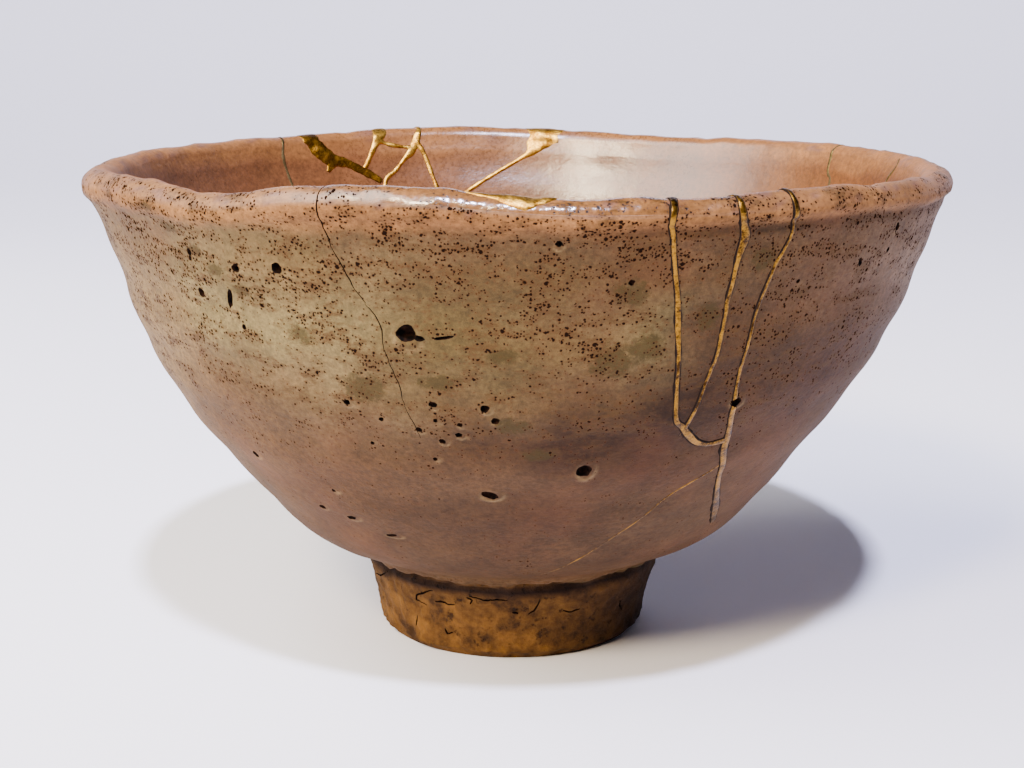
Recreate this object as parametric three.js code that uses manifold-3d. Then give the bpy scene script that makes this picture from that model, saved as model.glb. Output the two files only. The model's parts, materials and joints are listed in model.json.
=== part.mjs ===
// A wheel-thrown tea bowl that broke at the rim and was joined again with gold lacquer.
// Millimetres, +Z up. The origin is under the middle of the bowl, on the surface that the foot stands on.
// Angles go round the bowl in degrees: 0 is the front (-Y), 90 is the right side (+X), 180 is the back.
import * as THREE from "three";
import { mergeVertices } from "three/addons/utils/BufferGeometryUtils.js";
import Module from "manifold-3d";

const wasm = await Module();
wasm.setup();

// Sizes of the bowl
const RIM_RADIUS = 75; // outside of the thick lip
const HEIGHT = 85; // underside of the foot to the middle height of the lip's crest
const WALL = 5; // body wall, square to its face
const WALL_AT_FOOT = 8; // the same where the body springs from the foot
const FLOOR_THICKNESS = 9; // inside floor to the roof of the foot's recess
const FLOOR_RADIUS = 15; // flat middle of the inside floor
const WALL_FULL_SHARE = 0.75; // share of the body's outline above which the wall has thinned to WALL
const FLOOR_SPRING_SHARE = 0.3; // share of the body's outline where the inside wall runs out onto the floor
const INSIDE_NECK_SHARE = 0.985; // share of the body's outline where the inside wall meets the lip
const INSIDE_KNOTS = 6; // spans of the inside curve between those two
const LIP_BEAD_RADIUS = 2.7; // roundness of the thick lip
const LIP_BEAD_FROM = -50; // degrees: the lip's roll starts under its outside
const LIP_BEAD_TO = 175; // and ends on its inside
const LIP_OVERHANG = 1.3; // how far the lip stands out from the wall below it
const NECK_HEIGHT = 5.3; // the wall's end below the crest, where the lip begins

// Sizes of the foot ring
const FOOT_RADIUS = 24.4; // just above its worn lower edge
const FOOT_TOP_RADIUS = 27.2; // where the body springs from it
const FOOT_HEIGHT = 14.9;
const FOOT_RING_WIDTH = 6.4; // through the ring, just above its worn lower edges
const FOOT_BEVEL = 1.5; // the wear on both lower edges
const RECESS_BEVEL = 1.6; // where the recess's wall meets its roof
const FOOT_RECESS_DEPTH = 9;
const FOOT_SHIFT = 0.9; // the foot sits this far to the left of the rim's middle

// Gold lacquer
const GOLD_PROUD = 0.35; // how far it stands out of the glaze
const JOINT_CLEARANCE = 0.3; // each gold piece to the ceramic round it
const CHIP_DEPTH = 1.6; // the shallow chip in the front lip
const CUT_OVERSHOOT = 2.5; // a cut reaches this far past both faces of the wall
const SMALLEST_SHERD = 20; // cubic millimetres: less than this is grit that was swept away

// Fineness of the facets
const SIDES = 72;
const BODY_ROWS = 9;
const INSIDE_ROWS = 7;
const LIP_ROWS = 6;
const FOOT_ROWS = 3;

// The outside of the body, from the foot to the neck under the lip: [share of the way up, share of the way out].
const BODY_OUTLINE = [
  [0, 0],
  [0.032, 0.077],
  [0.079, 0.217],
  [0.156, 0.346],
  [0.265, 0.472],
  [0.389, 0.608],
  [0.542, 0.747],
  [0.696, 0.85],
  [0.85, 0.923],
  [1, 1],
];

// The crest's height round the rim: [angle, share of the height above or below the middle].
const RIM_WAVE = [
  [-168, 0.012],
  [-150, 0.004],
  [-130, -0.001],
  [-105, -0.003],
  [-84, -0.008],
  [-62, 0.004],
  [-50, 0.007],
  [-38, -0.002],
  [-24, 0.02],
  [-10, 0.022],
  [4, 0.006],
  [22, 0.004],
  [40, 0.008],
  [60, -0.001],
  [82, -0.005],
  [105, -0.004],
  [118, -0.001],
  [135, -0.007],
  [152, -0.009],
  [170, -0.001],
];
const WAVE_START = 0.5; // share of the height below which the wall is level

// Swellings and hollows that the potter's hand left: [angle, share of the height, share of the rim radius].
const HAND_MARKS = [
  [-80, 0.84, -0.008],
  [-80, 0.3, -0.008],
  [-75, 0.52, 0.004],
  [78, 0.78, 0.006],
  [78, 0.46, -0.01],
  [20, 0.62, 0.005],
  [-20, 0.5, 0.005],
  [150, 0.7, -0.005],
  [-140, 0.4, 0.006],
];
const MARK_ANGLE = 32; // degrees that a mark spreads over
const MARK_SHARE = 0.11; // share of the height that it spreads over

// Break lines: each point is [angle, share of the height, half the gold's width in mm]. They run from above the rim
// downwards. The front lines are read on the outside of the wall, the back ones on its inside.
const FRONT_LINES = [
  [
    [17.0, 1.05, 0.66],
    [16.3, 0.966, 0.58],
    [16.9, 0.933, 0.5],
    [17.7, 0.88, 0.48],
    [18.7, 0.827, 0.54],
    [19.3, 0.788, 0.62],
    [20.0, 0.732, 0.48],
    [21.0, 0.658, 0.48],
    [22.0, 0.607, 0.54],
    [23.5, 0.589, 0.65],
    [25.1, 0.569, 0.76],
    [27.1, 0.55, 0.66],
    [29.5, 0.541, 0.52],
    [32.3, 0.543, 0.7],
  ],
  [
    [24.7, 1.05, 0.4],
    [24.4, 0.98, 0.65],
    [25.0, 0.951, 0.67],
    [25.6, 0.929, 0.98],
    [25.3, 0.888, 0.54],
    [25.2, 0.829, 0.52],
    [25.5, 0.79, 0.45],
    [25.3, 0.712, 0.45],
    [24.7, 0.637, 0.43],
    [24.0, 0.587, 0.5],
  ],
  [
    [31.4, 1.05, 0.48],
    [31.5, 0.968, 0.6],
    [32.0, 0.925, 0.41],
    [30.4, 0.852, 0.45],
    [29.7, 0.73, 0.4],
    [30.2, 0.659, 0.43],
    [31.0, 0.607, 0.65],
    [31.8, 0.581, 0.59],
    [32.8, 0.55, 0.74],
    [33.3, 0.524, 0.82],
    [35.0, 0.488, 0.68],
    [36.8, 0.45, 0.57],
    [39.3, 0.41, 0.7],
    [42.2, 0.374, 0.87],
    [45.2, 0.34, 0.68],
    [47.4, 0.318, 0.4],
  ],
];
const BACK_LINES = [
  [
    [-155.7, 1.05, 1.9],
    [-155.0, 0.981, 1.26],
    [-154.2, 0.964, 0.77],
    [-152.7, 0.93, 0.63],
    [-151.7, 0.911, 0.7],
  ],
  [
    [-162.9, 1.05, 0.64],
    [-162.3, 0.98, 0.82],
    [-161.7, 0.96, 1.0],
    [-160.9, 0.943, 0.91],
    [-159.5, 0.926, 0.59],
    [-157.7, 0.902, 0.54],
    [-155.2, 0.871, 0.63],
    [-156.5, 0.8, 0.5],
    [-160.4, 0.7, 0.5],
    [-158.5, 0.55, 0.4],
  ],
  [
    [-155.3, 0.972, 0.55],
    [-157.8, 0.96, 0.54],
    [-161.6, 0.951, 0.5],
  ],
  [
    [-162.0, 0.968, 0.64],
    [-163.3, 0.933, 0.59],
    [-164.3, 0.889, 0.55],
    [-166.0, 0.8, 0.5],
    [-164.5, 0.75, 0.5],
    [-160.4, 0.7, 0.5],
  ],
  [
    [174.8, 1.05, 4.4],
    [175.4, 0.983, 3.35],
    [176.4, 0.962, 2.2],
    [177.3, 0.943, 1.1],
    [178.7, 0.93, 0.6],
    [181.8, 0.904, 0.55],
    [187.3, 0.858, 0.53],
    [194, 0.8, 0.5],
  ],
];
const PATCH_LINES = [
  [
    [-142.2, 1.05, 2.6],
    [-142.8, 0.975, 2.2],
    [-144.3, 0.951, 2.0],
    [-146.1, 0.936, 1.6],
    [-148.5, 0.926, 1.07],
    [-150.8, 0.909, 1.0],
    [-153.0, 0.891, 1.05],
    [-154.6, 0.876, 0.75],
  ],
];

// The dull lines that stop inside the wall: name, then the line.
const OLD_CRACKS = {
  lacquer_seam_left: [
    [-137.0, 1.05, 0.39],
    [-136.3, 0.976, 0.39],
    [-135.8, 0.949, 0.5],
    [-136.0, 0.921, 0.42],
    [-136.4, 0.86, 0.35],
  ],
  lacquer_seam_right: [
    [117.6, 1.05, 0.4],
    [117.5, 0.972, 0.4],
    [116.6, 0.936, 0.4],
    [115.5, 0.917, 0.38],
    [115.0, 0.83, 0.33],
  ],
  lacquer_seam_side: [
    [98.4, 1.05, 0.37],
    [97.0, 0.984, 0.37],
    [97.8, 0.96, 0.37],
    [98.3, 0.93, 0.36],
    [98.2, 0.87, 0.3],
  ],
};

// The chip runs along the front lip from left to right.
const CHIP_LINE = [
  [-5.4, 1.01, 0.3],
  [-2.8, 0.999, 0.9],
  [0.3, 0.992, 1.7],
  [1.8, 0.994, 1.3],
  [3.9, 0.999, 0.3],
];

const rad = THREE.MathUtils.degToRad;

// Value at an angle of a closed list of [angle, value] points, on a smooth curve through them.
function roundTheRim(points, angle) {
  const turn = 360;
  const first = points[0][0];
  const a = ((((angle - first) % turn) + turn) % turn) + first;
  const last = points.length - 1;
  const at = (i) => points[(i + points.length) % points.length];
  let k = points.findIndex((p, i) => i < last && a < points[i + 1][0]);
  if (k < 0) k = last;
  const start = at(k)[0];
  const end = k === last ? at(0)[0] + turn : at(k + 1)[0];
  const t = (a - start) / (end - start);
  const [p0, p1, p2, p3] = [k - 1, k, k + 1, k + 2].map((i) => at(i)[1]);
  const slopeIn = (p2 - p0) / 2;
  const slopeOut = (p3 - p1) / 2;
  const curve = 2 * p1 - 2 * p2 + slopeIn + slopeOut;
  const bend = -3 * p1 + 3 * p2 - 2 * slopeIn - slopeOut;
  return ((curve * t + bend) * t + slopeIn) * t + p1;
}

// Where a point of the plain profile, radius and height at an angle, lies on the hand-made bowl.
function place(radius, height, angle) {
  const share = height / HEIGHT;
  const lift = THREE.MathUtils.smoothstep(share, WAVE_START, 1) * roundTheRim(RIM_WAVE, angle) * HEIGHT;
  let swell = 0;
  for (const [markAngle, markShare, amount] of HAND_MARKS) {
    const round = (((angle - markAngle + 540) % 360) - 180) / MARK_ANGLE;
    const up = (share - markShare) / MARK_SHARE;
    swell += amount * Math.exp(-round * round - up * up);
  }
  const r = radius + swell * Math.min(radius, RIM_RADIUS);
  const shift = -FOOT_SHIFT * (1 - THREE.MathUtils.clamp(share, 0, 1));
  return new THREE.Vector3(r * Math.sin(rad(angle)) + shift, -r * Math.cos(rad(angle)), height + lift);
}

// The outside of the body, foot top to neck, as a smooth curve of (radius, height).
const neckHeight = HEIGHT - NECK_HEIGHT;
const neckRadius = RIM_RADIUS - LIP_OVERHANG;
const bodyCurve = new THREE.SplineCurve(
  BODY_OUTLINE.map(
    ([up, out]) =>
      new THREE.Vector2(
        THREE.MathUtils.lerp(FOOT_TOP_RADIUS, neckRadius, out),
        THREE.MathUtils.lerp(FOOT_HEIGHT, neckHeight, up),
      ),
  ),
);

// Outward normal of the body curve at t, as (radius, height).
function bodyNormal(t) {
  const tangent = bodyCurve.getTangent(t);
  return new THREE.Vector2(tangent.y, -tangent.x).normalize();
}

const HALVINGS = 30; // how finely a height is looked up on the curve

// Point and normal of the body's outside at a height. Above the neck the wall goes on straight.
function wallAt(height) {
  let [low, high] = [0, 1];
  const target = Math.min(height, neckHeight);
  for (let halving = 0; halving < HALVINGS; halving++) {
    const middle = (low + high) / 2;
    if (bodyCurve.getPoint(middle).y < target) low = middle;
    else high = middle;
  }
  const normal = bodyNormal(low);
  const point = bodyCurve.getPoint(low);
  const above = Math.max(height - neckHeight, 0);
  point.x -= (above * normal.y) / normal.x;
  point.y += above;
  return { point, normal };
}

// The whole profile, from the roof of the recess round the foot, up the outside, over the lip and down to the floor.
function profile() {
  const points = [new THREE.Vector2(0, FOOT_RECESS_DEPTH)];
  const ringInside = FOOT_RADIUS - FOOT_RING_WIDTH;
  points.push(new THREE.Vector2(ringInside - RECESS_BEVEL, FOOT_RECESS_DEPTH));
  points.push(new THREE.Vector2(ringInside, FOOT_RECESS_DEPTH - RECESS_BEVEL));
  points.push(new THREE.Vector2(ringInside, FOOT_BEVEL));
  points.push(new THREE.Vector2(ringInside + FOOT_BEVEL, 0));
  points.push(new THREE.Vector2(FOOT_RADIUS - FOOT_BEVEL, 0));
  points.push(new THREE.Vector2(FOOT_RADIUS, FOOT_BEVEL));
  for (let i = 1; i <= FOOT_ROWS; i++) {
    const t = i / (FOOT_ROWS + 1);
    points.push(
      new THREE.Vector2(
        THREE.MathUtils.lerp(FOOT_RADIUS, FOOT_TOP_RADIUS, t * t * (2 - t)),
        THREE.MathUtils.lerp(FOOT_BEVEL, FOOT_HEIGHT, t),
      ),
    );
  }
  for (let i = 0; i <= BODY_ROWS; i++) points.push(bodyCurve.getPoint(i / BODY_ROWS));
  const beadAt = new THREE.Vector2(RIM_RADIUS - LIP_BEAD_RADIUS, HEIGHT - LIP_BEAD_RADIUS);
  for (let i = 0; i <= LIP_ROWS; i++) {
    const a = rad(THREE.MathUtils.lerp(LIP_BEAD_FROM, LIP_BEAD_TO, i / LIP_ROWS));
    points.push(new THREE.Vector2(Math.cos(a), Math.sin(a)).multiplyScalar(LIP_BEAD_RADIUS).add(beadAt));
  }
  // Inside: the outside moved in by the wall, thicker near the foot, running out onto the flat floor.
  const floor = FOOT_RECESS_DEPTH + FLOOR_THICKNESS;
  const knots = [];
  for (let i = 0; i <= INSIDE_KNOTS; i++) {
    const t = THREE.MathUtils.lerp(INSIDE_NECK_SHARE, FLOOR_SPRING_SHARE, i / INSIDE_KNOTS);
    const thinning = THREE.MathUtils.smoothstep(t, FLOOR_SPRING_SHARE, WALL_FULL_SHARE);
    const wall = THREE.MathUtils.lerp(WALL_AT_FOOT, WALL, thinning);
    knots.push(bodyCurve.getPoint(t).sub(bodyNormal(t).multiplyScalar(wall)));
  }
  knots.push(new THREE.Vector2(FLOOR_RADIUS, floor));
  const inside = new THREE.SplineCurve(knots);
  for (let i = 0; i <= INSIDE_ROWS; i++) points.push(inside.getPoint(i / INSIDE_ROWS));
  points.push(new THREE.Vector2(0, floor));
  return points;
}

// Profile moved out of the material by a distance, square to its own line.
function grown(points, distance) {
  return points.map((p, i) => {
    if (p.x === 0) return new THREE.Vector2(0, p.y + (i === 0 ? -distance : distance));
    const along = points[i + 1].clone().sub(points[i - 1]);
    const normal = new THREE.Vector2(along.y, -along.x).normalize();
    return p.clone().add(normal.multiplyScalar(distance));
  });
}

// A profile that starts and ends on the axis, turned round the bowl.
function turnedSolid(points) {
  const vertices = [];
  const faces = [];
  const rings = points.length - 2;
  for (let ring = 1; ring <= rings; ring++) {
    for (let side = 0; side < SIDES; side++) {
      vertices.push(place(points[ring].x, points[ring].y, (side * 360) / SIDES - 180));
    }
  }
  const underside = vertices.push(place(0, points[0].y, 0)) - 1;
  const floor = vertices.push(place(0, points[points.length - 1].y, 0)) - 1;
  for (let side = 0; side < SIDES; side++) {
    const next = (side + 1) % SIDES;
    faces.push([underside, next, side]);
    for (let ring = 0; ring < rings - 1; ring++) {
      const a = ring * SIDES;
      const b = a + SIDES;
      faces.push([a + side, a + next, b + next], [a + side, b + next, b + side]);
    }
    const top = (rings - 1) * SIDES;
    faces.push([floor, top + side, top + next]);
  }
  return solidFrom(vertices, faces);
}

// A closed manifold from corners and triangles.
function solidFrom(vertices, faces) {
  const geometry = new THREE.BufferGeometry().setFromPoints(vertices);
  geometry.setIndex(faces.flat());
  const merged = mergeVertices(geometry, 1e-4);
  return new wasm.Manifold(
    new wasm.Mesh({
      numProp: 3,
      vertProperties: merged.attributes.position.array,
      triVerts: new Uint32Array(merged.index.array),
    }),
  );
}

// A ribbon through the wall along a line of [angle, share, half width] points, widened by extra on each side.
// It reaches from outer millimetres outside the wall's face to inner millimetres under it.
function ribbon(line, { extra = 0, fromInside = false, outer = CUT_OVERSHOOT, inner = WALL_AT_FOOT }) {
  const stations = line.map(([angle, share]) => {
    const height = share * HEIGHT;
    let { point, normal } = wallAt(height);
    if (fromInside) ({ point, normal } = wallAt(height + normal.y * WALL));
    const out = point.clone().add(normal.clone().multiplyScalar(outer));
    const into = point.clone().sub(normal.clone().multiplyScalar(inner + extra));
    return [place(out.x, out.y, angle), place(into.x, into.y, angle)];
  });
  const vertices = [];
  stations.forEach(([out, into], i) => {
    const before = stations[Math.max(i - 1, 0)][0];
    const after = stations[Math.min(i + 1, stations.length - 1)][0];
    const along = after.clone().sub(before).normalize();
    const depth = out.clone().sub(into).normalize();
    const across = new THREE.Vector3().crossVectors(along, depth).normalize().multiplyScalar(line[i][2] + extra);
    const end = i === 0 ? -extra : i === stations.length - 1 ? extra : 0;
    const push = along.multiplyScalar(end);
    for (const [corner, sign] of [[out, 1], [out, -1], [into, -1], [into, 1]]) {
      vertices.push(corner.clone().addScaledVector(across, sign).add(push));
    }
  });
  const faces = [[0, 1, 2], [0, 2, 3]];
  for (let i = 0; i < stations.length - 1; i++) {
    for (let side = 0; side < 4; side++) {
      const a = i * 4 + side;
      const b = i * 4 + ((side + 1) % 4);
      faces.push([a, a + 4, b + 4], [a, b + 4, b]);
    }
  }
  const end = vertices.length - 4;
  faces.push([end, end + 2, end + 1], [end, end + 3, end + 2]);
  return solidFrom(vertices, faces);
}

// All the ribbons of a network, joined.
function network(lines, options) {
  return lines.map((line) => ribbon(line, options)).reduce((all, one) => all.add(one));
}

const plainBowl = turnedSolid(profile());
const goldLimit = turnedSolid(grown(profile(), GOLD_PROUD));
const CHIP_CUT = { outer: 1, inner: LIP_OVERHANG + CHIP_DEPTH };
const goldLines = {
  gold_seam_front: [FRONT_LINES, {}],
  gold_seam_back: [BACK_LINES, { fromInside: true }],
  gold_patch_back: [PATCH_LINES, { fromInside: true }],
  gold_chip_front: [[CHIP_LINE], CHIP_CUT],
};
for (const [name, line] of Object.entries(OLD_CRACKS)) goldLines[name] = [[line], { fromInside: true }];

// Each gold piece fills its own cut. The patch stops short of the seam that it runs into.
const goldPieces = {};
let ceramic = plainBowl;
for (const [name, [lines, options]] of Object.entries(goldLines)) {
  goldPieces[name] = network(lines, options).intersect(goldLimit);
  ceramic = ceramic.subtract(network(lines, { ...options, extra: JOINT_CLEARANCE }));
}
const seamRoom = network(BACK_LINES, { fromInside: true, extra: JOINT_CLEARANCE });
goldPieces.gold_patch_back = goldPieces.gold_patch_back.subtract(seamRoom);

// The cuts part the ceramic into the bowl and its sherds. Each sherd is the one whose middle lies nearest to its
// place: [angle, share of the height].
const SHERD_PLACES = {
  sherd_front_left: [22, 0.8],
  sherd_front_right: [29, 0.78],
  sherd_back_far_left: [-150, 0.96],
  sherd_back_rim: [-159, 0.99],
  sherd_back_left: [-157, 0.92],
  sherd_back_middle: [-160.5, 0.83],
  sherd_back_right: [-173, 0.92],
};
const parts = ceramic.decompose().filter((part) => part.volume() > SMALLEST_SHERD);
parts.sort((a, b) => b.volume() - a.volume());
const bowlBody = parts.shift();

function middleOf(solid) {
  const { min, max } = solid.boundingBox();
  return new THREE.Vector3(...min).add(new THREE.Vector3(...max)).multiplyScalar(0.5);
}

function sherdNearest([angle, share]) {
  const { point } = wallAt(share * HEIGHT);
  const seed = place(point.x, point.y, angle);
  const distance = (part) => middleOf(part).distanceTo(seed);
  return parts.reduce((best, part) => (distance(part) < distance(best) ? part : best));
}

const STONEWARE = { color: 0xb5a684, roughness: 0.35, metalness: 0 };
const GOLD = { color: 0xc08a3c, roughness: 0.35, metalness: 1 };
const DARK_GOLD = { color: 0x6b4710, roughness: 0.45, metalness: 0.8 };
const DULL_LACQUER = { color: 0x5f5230, roughness: 0.5, metalness: 0.3 };

const bowl = new THREE.Group();

// Adds a solid to the bowl as a named mesh with its own material.
function addPiece(name, solid, look) {
  const { vertProperties, triVerts, numProp } = solid.getMesh();
  const corners = [];
  for (let i = 0; i < vertProperties.length; i += numProp) corners.push(...vertProperties.subarray(i, i + 3));
  const geometry = new THREE.BufferGeometry();
  geometry.setAttribute("position", new THREE.Float32BufferAttribute(corners, 3));
  geometry.setIndex([...triVerts]);
  geometry.computeVertexNormals();
  const mesh = new THREE.Mesh(geometry, new THREE.MeshStandardMaterial(look));
  mesh.name = name;
  bowl.add(mesh);
}

addPiece("bowl_body", bowlBody, STONEWARE);
for (const [name, seed] of Object.entries(SHERD_PLACES)) addPiece(name, sherdNearest(seed), STONEWARE);
for (const [name, solid] of Object.entries(goldPieces)) {
  const look = name.startsWith("gold_patch") ? DARK_GOLD : name.startsWith("gold") ? GOLD : DULL_LACQUER;
  addPiece(name, solid, look);
}

export default bowl;
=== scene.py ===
# %% [markdown]
# # A broken tea bowl, mended with gold
# The object is a stoneware bowl of the Korean tea bowl kind, thrown on a wheel, glazed, broken at the rim
# and put together again with lacquer and gold powder. This file shows how to build it in Blender. The
# clay comes first, then the breaks, pits and cracks in it, then the gold, and then the glaze, which is
# most of what the eye sees. All sizes are real: lengths are in millimetres in the lists and are turned to
# metres when a mesh is made.

# %% Load the measured model
import functools
import json
import math

import bpy
import numpy as np
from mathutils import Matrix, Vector, noise

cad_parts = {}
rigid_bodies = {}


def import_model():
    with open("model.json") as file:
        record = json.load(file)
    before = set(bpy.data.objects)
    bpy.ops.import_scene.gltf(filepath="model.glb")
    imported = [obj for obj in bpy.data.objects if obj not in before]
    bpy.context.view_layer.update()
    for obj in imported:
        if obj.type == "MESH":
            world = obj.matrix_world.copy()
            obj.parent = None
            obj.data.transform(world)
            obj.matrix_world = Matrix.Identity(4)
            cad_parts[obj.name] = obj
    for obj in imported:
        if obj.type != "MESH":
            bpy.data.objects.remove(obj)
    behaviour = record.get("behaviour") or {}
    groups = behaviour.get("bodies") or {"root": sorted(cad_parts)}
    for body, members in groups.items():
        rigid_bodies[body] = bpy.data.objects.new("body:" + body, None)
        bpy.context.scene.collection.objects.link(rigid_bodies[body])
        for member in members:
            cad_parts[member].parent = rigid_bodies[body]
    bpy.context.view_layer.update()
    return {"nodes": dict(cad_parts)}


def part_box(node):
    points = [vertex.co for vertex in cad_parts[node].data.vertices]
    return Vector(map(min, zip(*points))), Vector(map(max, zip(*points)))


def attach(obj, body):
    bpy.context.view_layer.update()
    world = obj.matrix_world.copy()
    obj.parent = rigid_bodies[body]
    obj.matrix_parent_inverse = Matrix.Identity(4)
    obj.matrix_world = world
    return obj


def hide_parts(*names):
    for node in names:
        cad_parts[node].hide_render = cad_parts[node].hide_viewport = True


bpy.ops.object.select_all(action="SELECT")
bpy.ops.object.delete()
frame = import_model()
MM = 0.001
body_low, body_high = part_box("bowl_body")
print(len(frame["nodes"]), "nodes in the frame")
print("the bowl stands in", [round(v / MM, 1) for v in body_high - body_low], "mm")

# %% [markdown]
# ## The camera and the room
# The photograph looks down at the bowl by twelve and a half degrees from about 30 cm in front of it. The
# rim's ellipse, the outline and the foot give that viewpoint. The picture is 1024 pixels wide and the
# focal length is 1663 of them, which is a 58 mm lens on a 36 mm wide sensor.

# %% Camera
PICTURE_WIDTH = 1024
FOCAL_PIXELS = 1663
SENSOR = 36.0
camera_data = bpy.data.cameras.new("camera")
camera_data.sensor_width = SENSOR
camera_data.lens = FOCAL_PIXELS / PICTURE_WIDTH * SENSOR
camera = bpy.data.objects.new("camera", camera_data)
bpy.context.scene.collection.objects.link(camera)
camera.location = (-0.0008, -0.2965, 0.1096)
camera.rotation_euler = (math.radians(90 - 12.49), 0, 0)
bpy.context.scene.camera = camera
print("lens", round(camera_data.lens, 1), "mm")

# %% [markdown]
# ## Helpers for meshes
# Operators act on everything that is selected, so each step starts with nothing selected. A modifier is
# made real as soon as it is added, because the next step needs its result.


# %% Selection and modifiers
def select_only(*objects):
    if bpy.context.mode != "OBJECT":
        bpy.ops.object.mode_set(mode="OBJECT")
    bpy.ops.object.select_all(action="DESELECT")
    for obj in objects:
        obj.select_set(True)
    bpy.context.view_layer.objects.active = objects[0]


def apply_modifier(obj, kind, **settings):
    modifier = obj.modifiers.new(kind.lower(), kind)
    for key, value in settings.items():
        setattr(modifier, key, value)
    select_only(obj)
    bpy.ops.object.modifier_apply(modifier=modifier.name)


def rows_of(items, name):
    """A vector of each vertex or face of a mesh, as rows of x, y, z."""
    flat = np.empty(len(items) * 3)
    items.foreach_get(name, flat)
    return flat.reshape(-1, 3)


def corners_of(obj):
    return rows_of(obj.data.vertices, "co")


def move_corners(obj, places):
    obj.data.vertices.foreach_set("co", np.asarray(places, float).ravel())
    obj.data.update()


def mesh_from(name, places, faces, material=None):
    mesh = bpy.data.meshes.new(name)
    mesh.from_pydata([tuple(p) for p in places], [], faces)
    if material:
        mesh.materials.append(material)
    obj = bpy.data.objects.new(name, mesh)
    bpy.context.scene.collection.objects.link(obj)
    return obj


def closed_tube(name, rings, material):
    """A tube through rings of points in millimetres, closed at both ends."""
    count, around = rings.shape[:2]
    faces = [tuple(range(around)), tuple(around * (count - 1) + i for i in reversed(range(around)))]
    for i in range(count - 1):
        for k in range(around):
            a, b = around * i + k, around * i + (k + 1) % around
            faces.append((a, a + around, b + around, b))
    tube = mesh_from(name, rings.reshape(-1, 3) * MM, faces, material)
    select_only(tube)
    bpy.ops.object.mode_set(mode="EDIT")
    bpy.ops.mesh.select_all(action="SELECT")
    bpy.ops.mesh.normals_make_consistent(inside=False)
    bpy.ops.object.mode_set(mode="OBJECT")
    return tube


# %% [markdown]
# ## The section of the bowl
# A thrown bowl is one section turned round an axis, and then everything that the potter's hands did to
# it. The section runs from the roof of the foot's recess, round the foot ring, up the outside, over the
# thick lip and down the inside. Its sizes are those of the measured model, and the outside is a smooth
# curve through ten points that are shares of the way up and of the way out.

# %% Sizes of the section
RIM_RADIUS = 75.0
HEIGHT = 85.0
WALL = 5.0
WALL_AT_FOOT = 8.0
FLOOR_THICKNESS = 9.0
FLOOR_RADIUS = 15.0
LIP_BEAD_RADIUS = 2.7
LIP_OVERHANG = 1.3
NECK_HEIGHT = 5.3
FOOT_RADIUS = 24.4
FOOT_TOP_RADIUS = 27.2
FOOT_HEIGHT = 14.9
FOOT_RING_WIDTH = 6.4
FOOT_BEVEL = 1.5
FOOT_RECESS_DEPTH = 9.0
FOOT_SHIFT = 0.9
BODY_OUTLINE = [
    (0, 0), (0.032, 0.077), (0.079, 0.217), (0.156, 0.346), (0.265, 0.472),
    (0.389, 0.608), (0.542, 0.747), (0.696, 0.85), (0.85, 0.923), (1, 1),
]


def curve_between(p0, p1, p2, p3, w):
    """A smooth curve between its knots p1 and p2, for w from 0 to 1; p0 and p3 set its slopes there."""
    v0, v1 = (p2 - p0) / 2, (p3 - p1) / 2
    return ((2 * p1 - 2 * p2 + v0 + v1) * w + (-3 * p1 + 3 * p2 - 2 * v0 - v1)) * w * w + v0 * w + p1


def smooth_curve(knots, t):
    """Points of a smooth curve through all knots, for t from 0 to 1."""
    knots = np.asarray(knots, float)
    last = len(knots) - 1
    p = np.clip(np.asarray(t, float), 0, 1) * last
    i = np.minimum(p.astype(int), last - 1)
    near = (knots[np.clip(i + k, 0, last)] for k in (-1, 0, 1, 2))
    return curve_between(*near, (p - i)[:, None])


neck_radius = RIM_RADIUS - LIP_OVERHANG
neck_height = HEIGHT - NECK_HEIGHT
body_knots = [
    (
        FOOT_TOP_RADIUS + out * (neck_radius - FOOT_TOP_RADIUS),
        FOOT_HEIGHT + up * (neck_height - FOOT_HEIGHT),
    )
    for up, out in BODY_OUTLINE
]


def wall_points(t):
    """Outside points and outward normals of the body, as (radius, height), for t from 0 at the foot to 1."""
    t = np.atleast_1d(np.asarray(t, float))
    step = 1e-4
    ahead = smooth_curve(body_knots, np.minimum(t + step, 1))
    behind = smooth_curve(body_knots, np.maximum(t - step, 0))
    along = ahead - behind
    normal = np.stack([along[:, 1], -along[:, 0]], 1)
    return smooth_curve(body_knots, t), normal / np.linalg.norm(normal, axis=1)[:, None]


def smooth_step(x, low, high):
    w = np.clip((np.asarray(x, float) - low) / (high - low), 0, 1)
    return w * w * (3 - 2 * w)


INSIDE_FROM, INSIDE_TO, FULL_WALL_AT = 0.985, 0.3, 0.75
inside_t = np.linspace(INSIDE_FROM, INSIDE_TO, 7)
inside_wall = WALL_AT_FOOT + (WALL - WALL_AT_FOOT) * smooth_step(inside_t, INSIDE_TO, FULL_WALL_AT)
outside_points, outside_normals = wall_points(inside_t)
floor_height = FOOT_RECESS_DEPTH + FLOOR_THICKNESS
inside_points = outside_points - outside_normals * inside_wall[:, None]
inside_knots = np.vstack([inside_points, [(FLOOR_RADIUS, floor_height)]])

# %% [markdown]
# ## Points along the section
# The rows are close where the camera looks and wider apart under the foot and on the inside's floor. Each
# row keeps a note of the stretch it belongs to, because the glaze, the bare clay of the foot and the
# inside are treated differently later.

# %% Rows of the section
ring_inside = FOOT_RADIUS - FOOT_RING_WIDTH


def straight(start, end, count):
    return np.linspace(start, end, count, endpoint=False)


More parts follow.
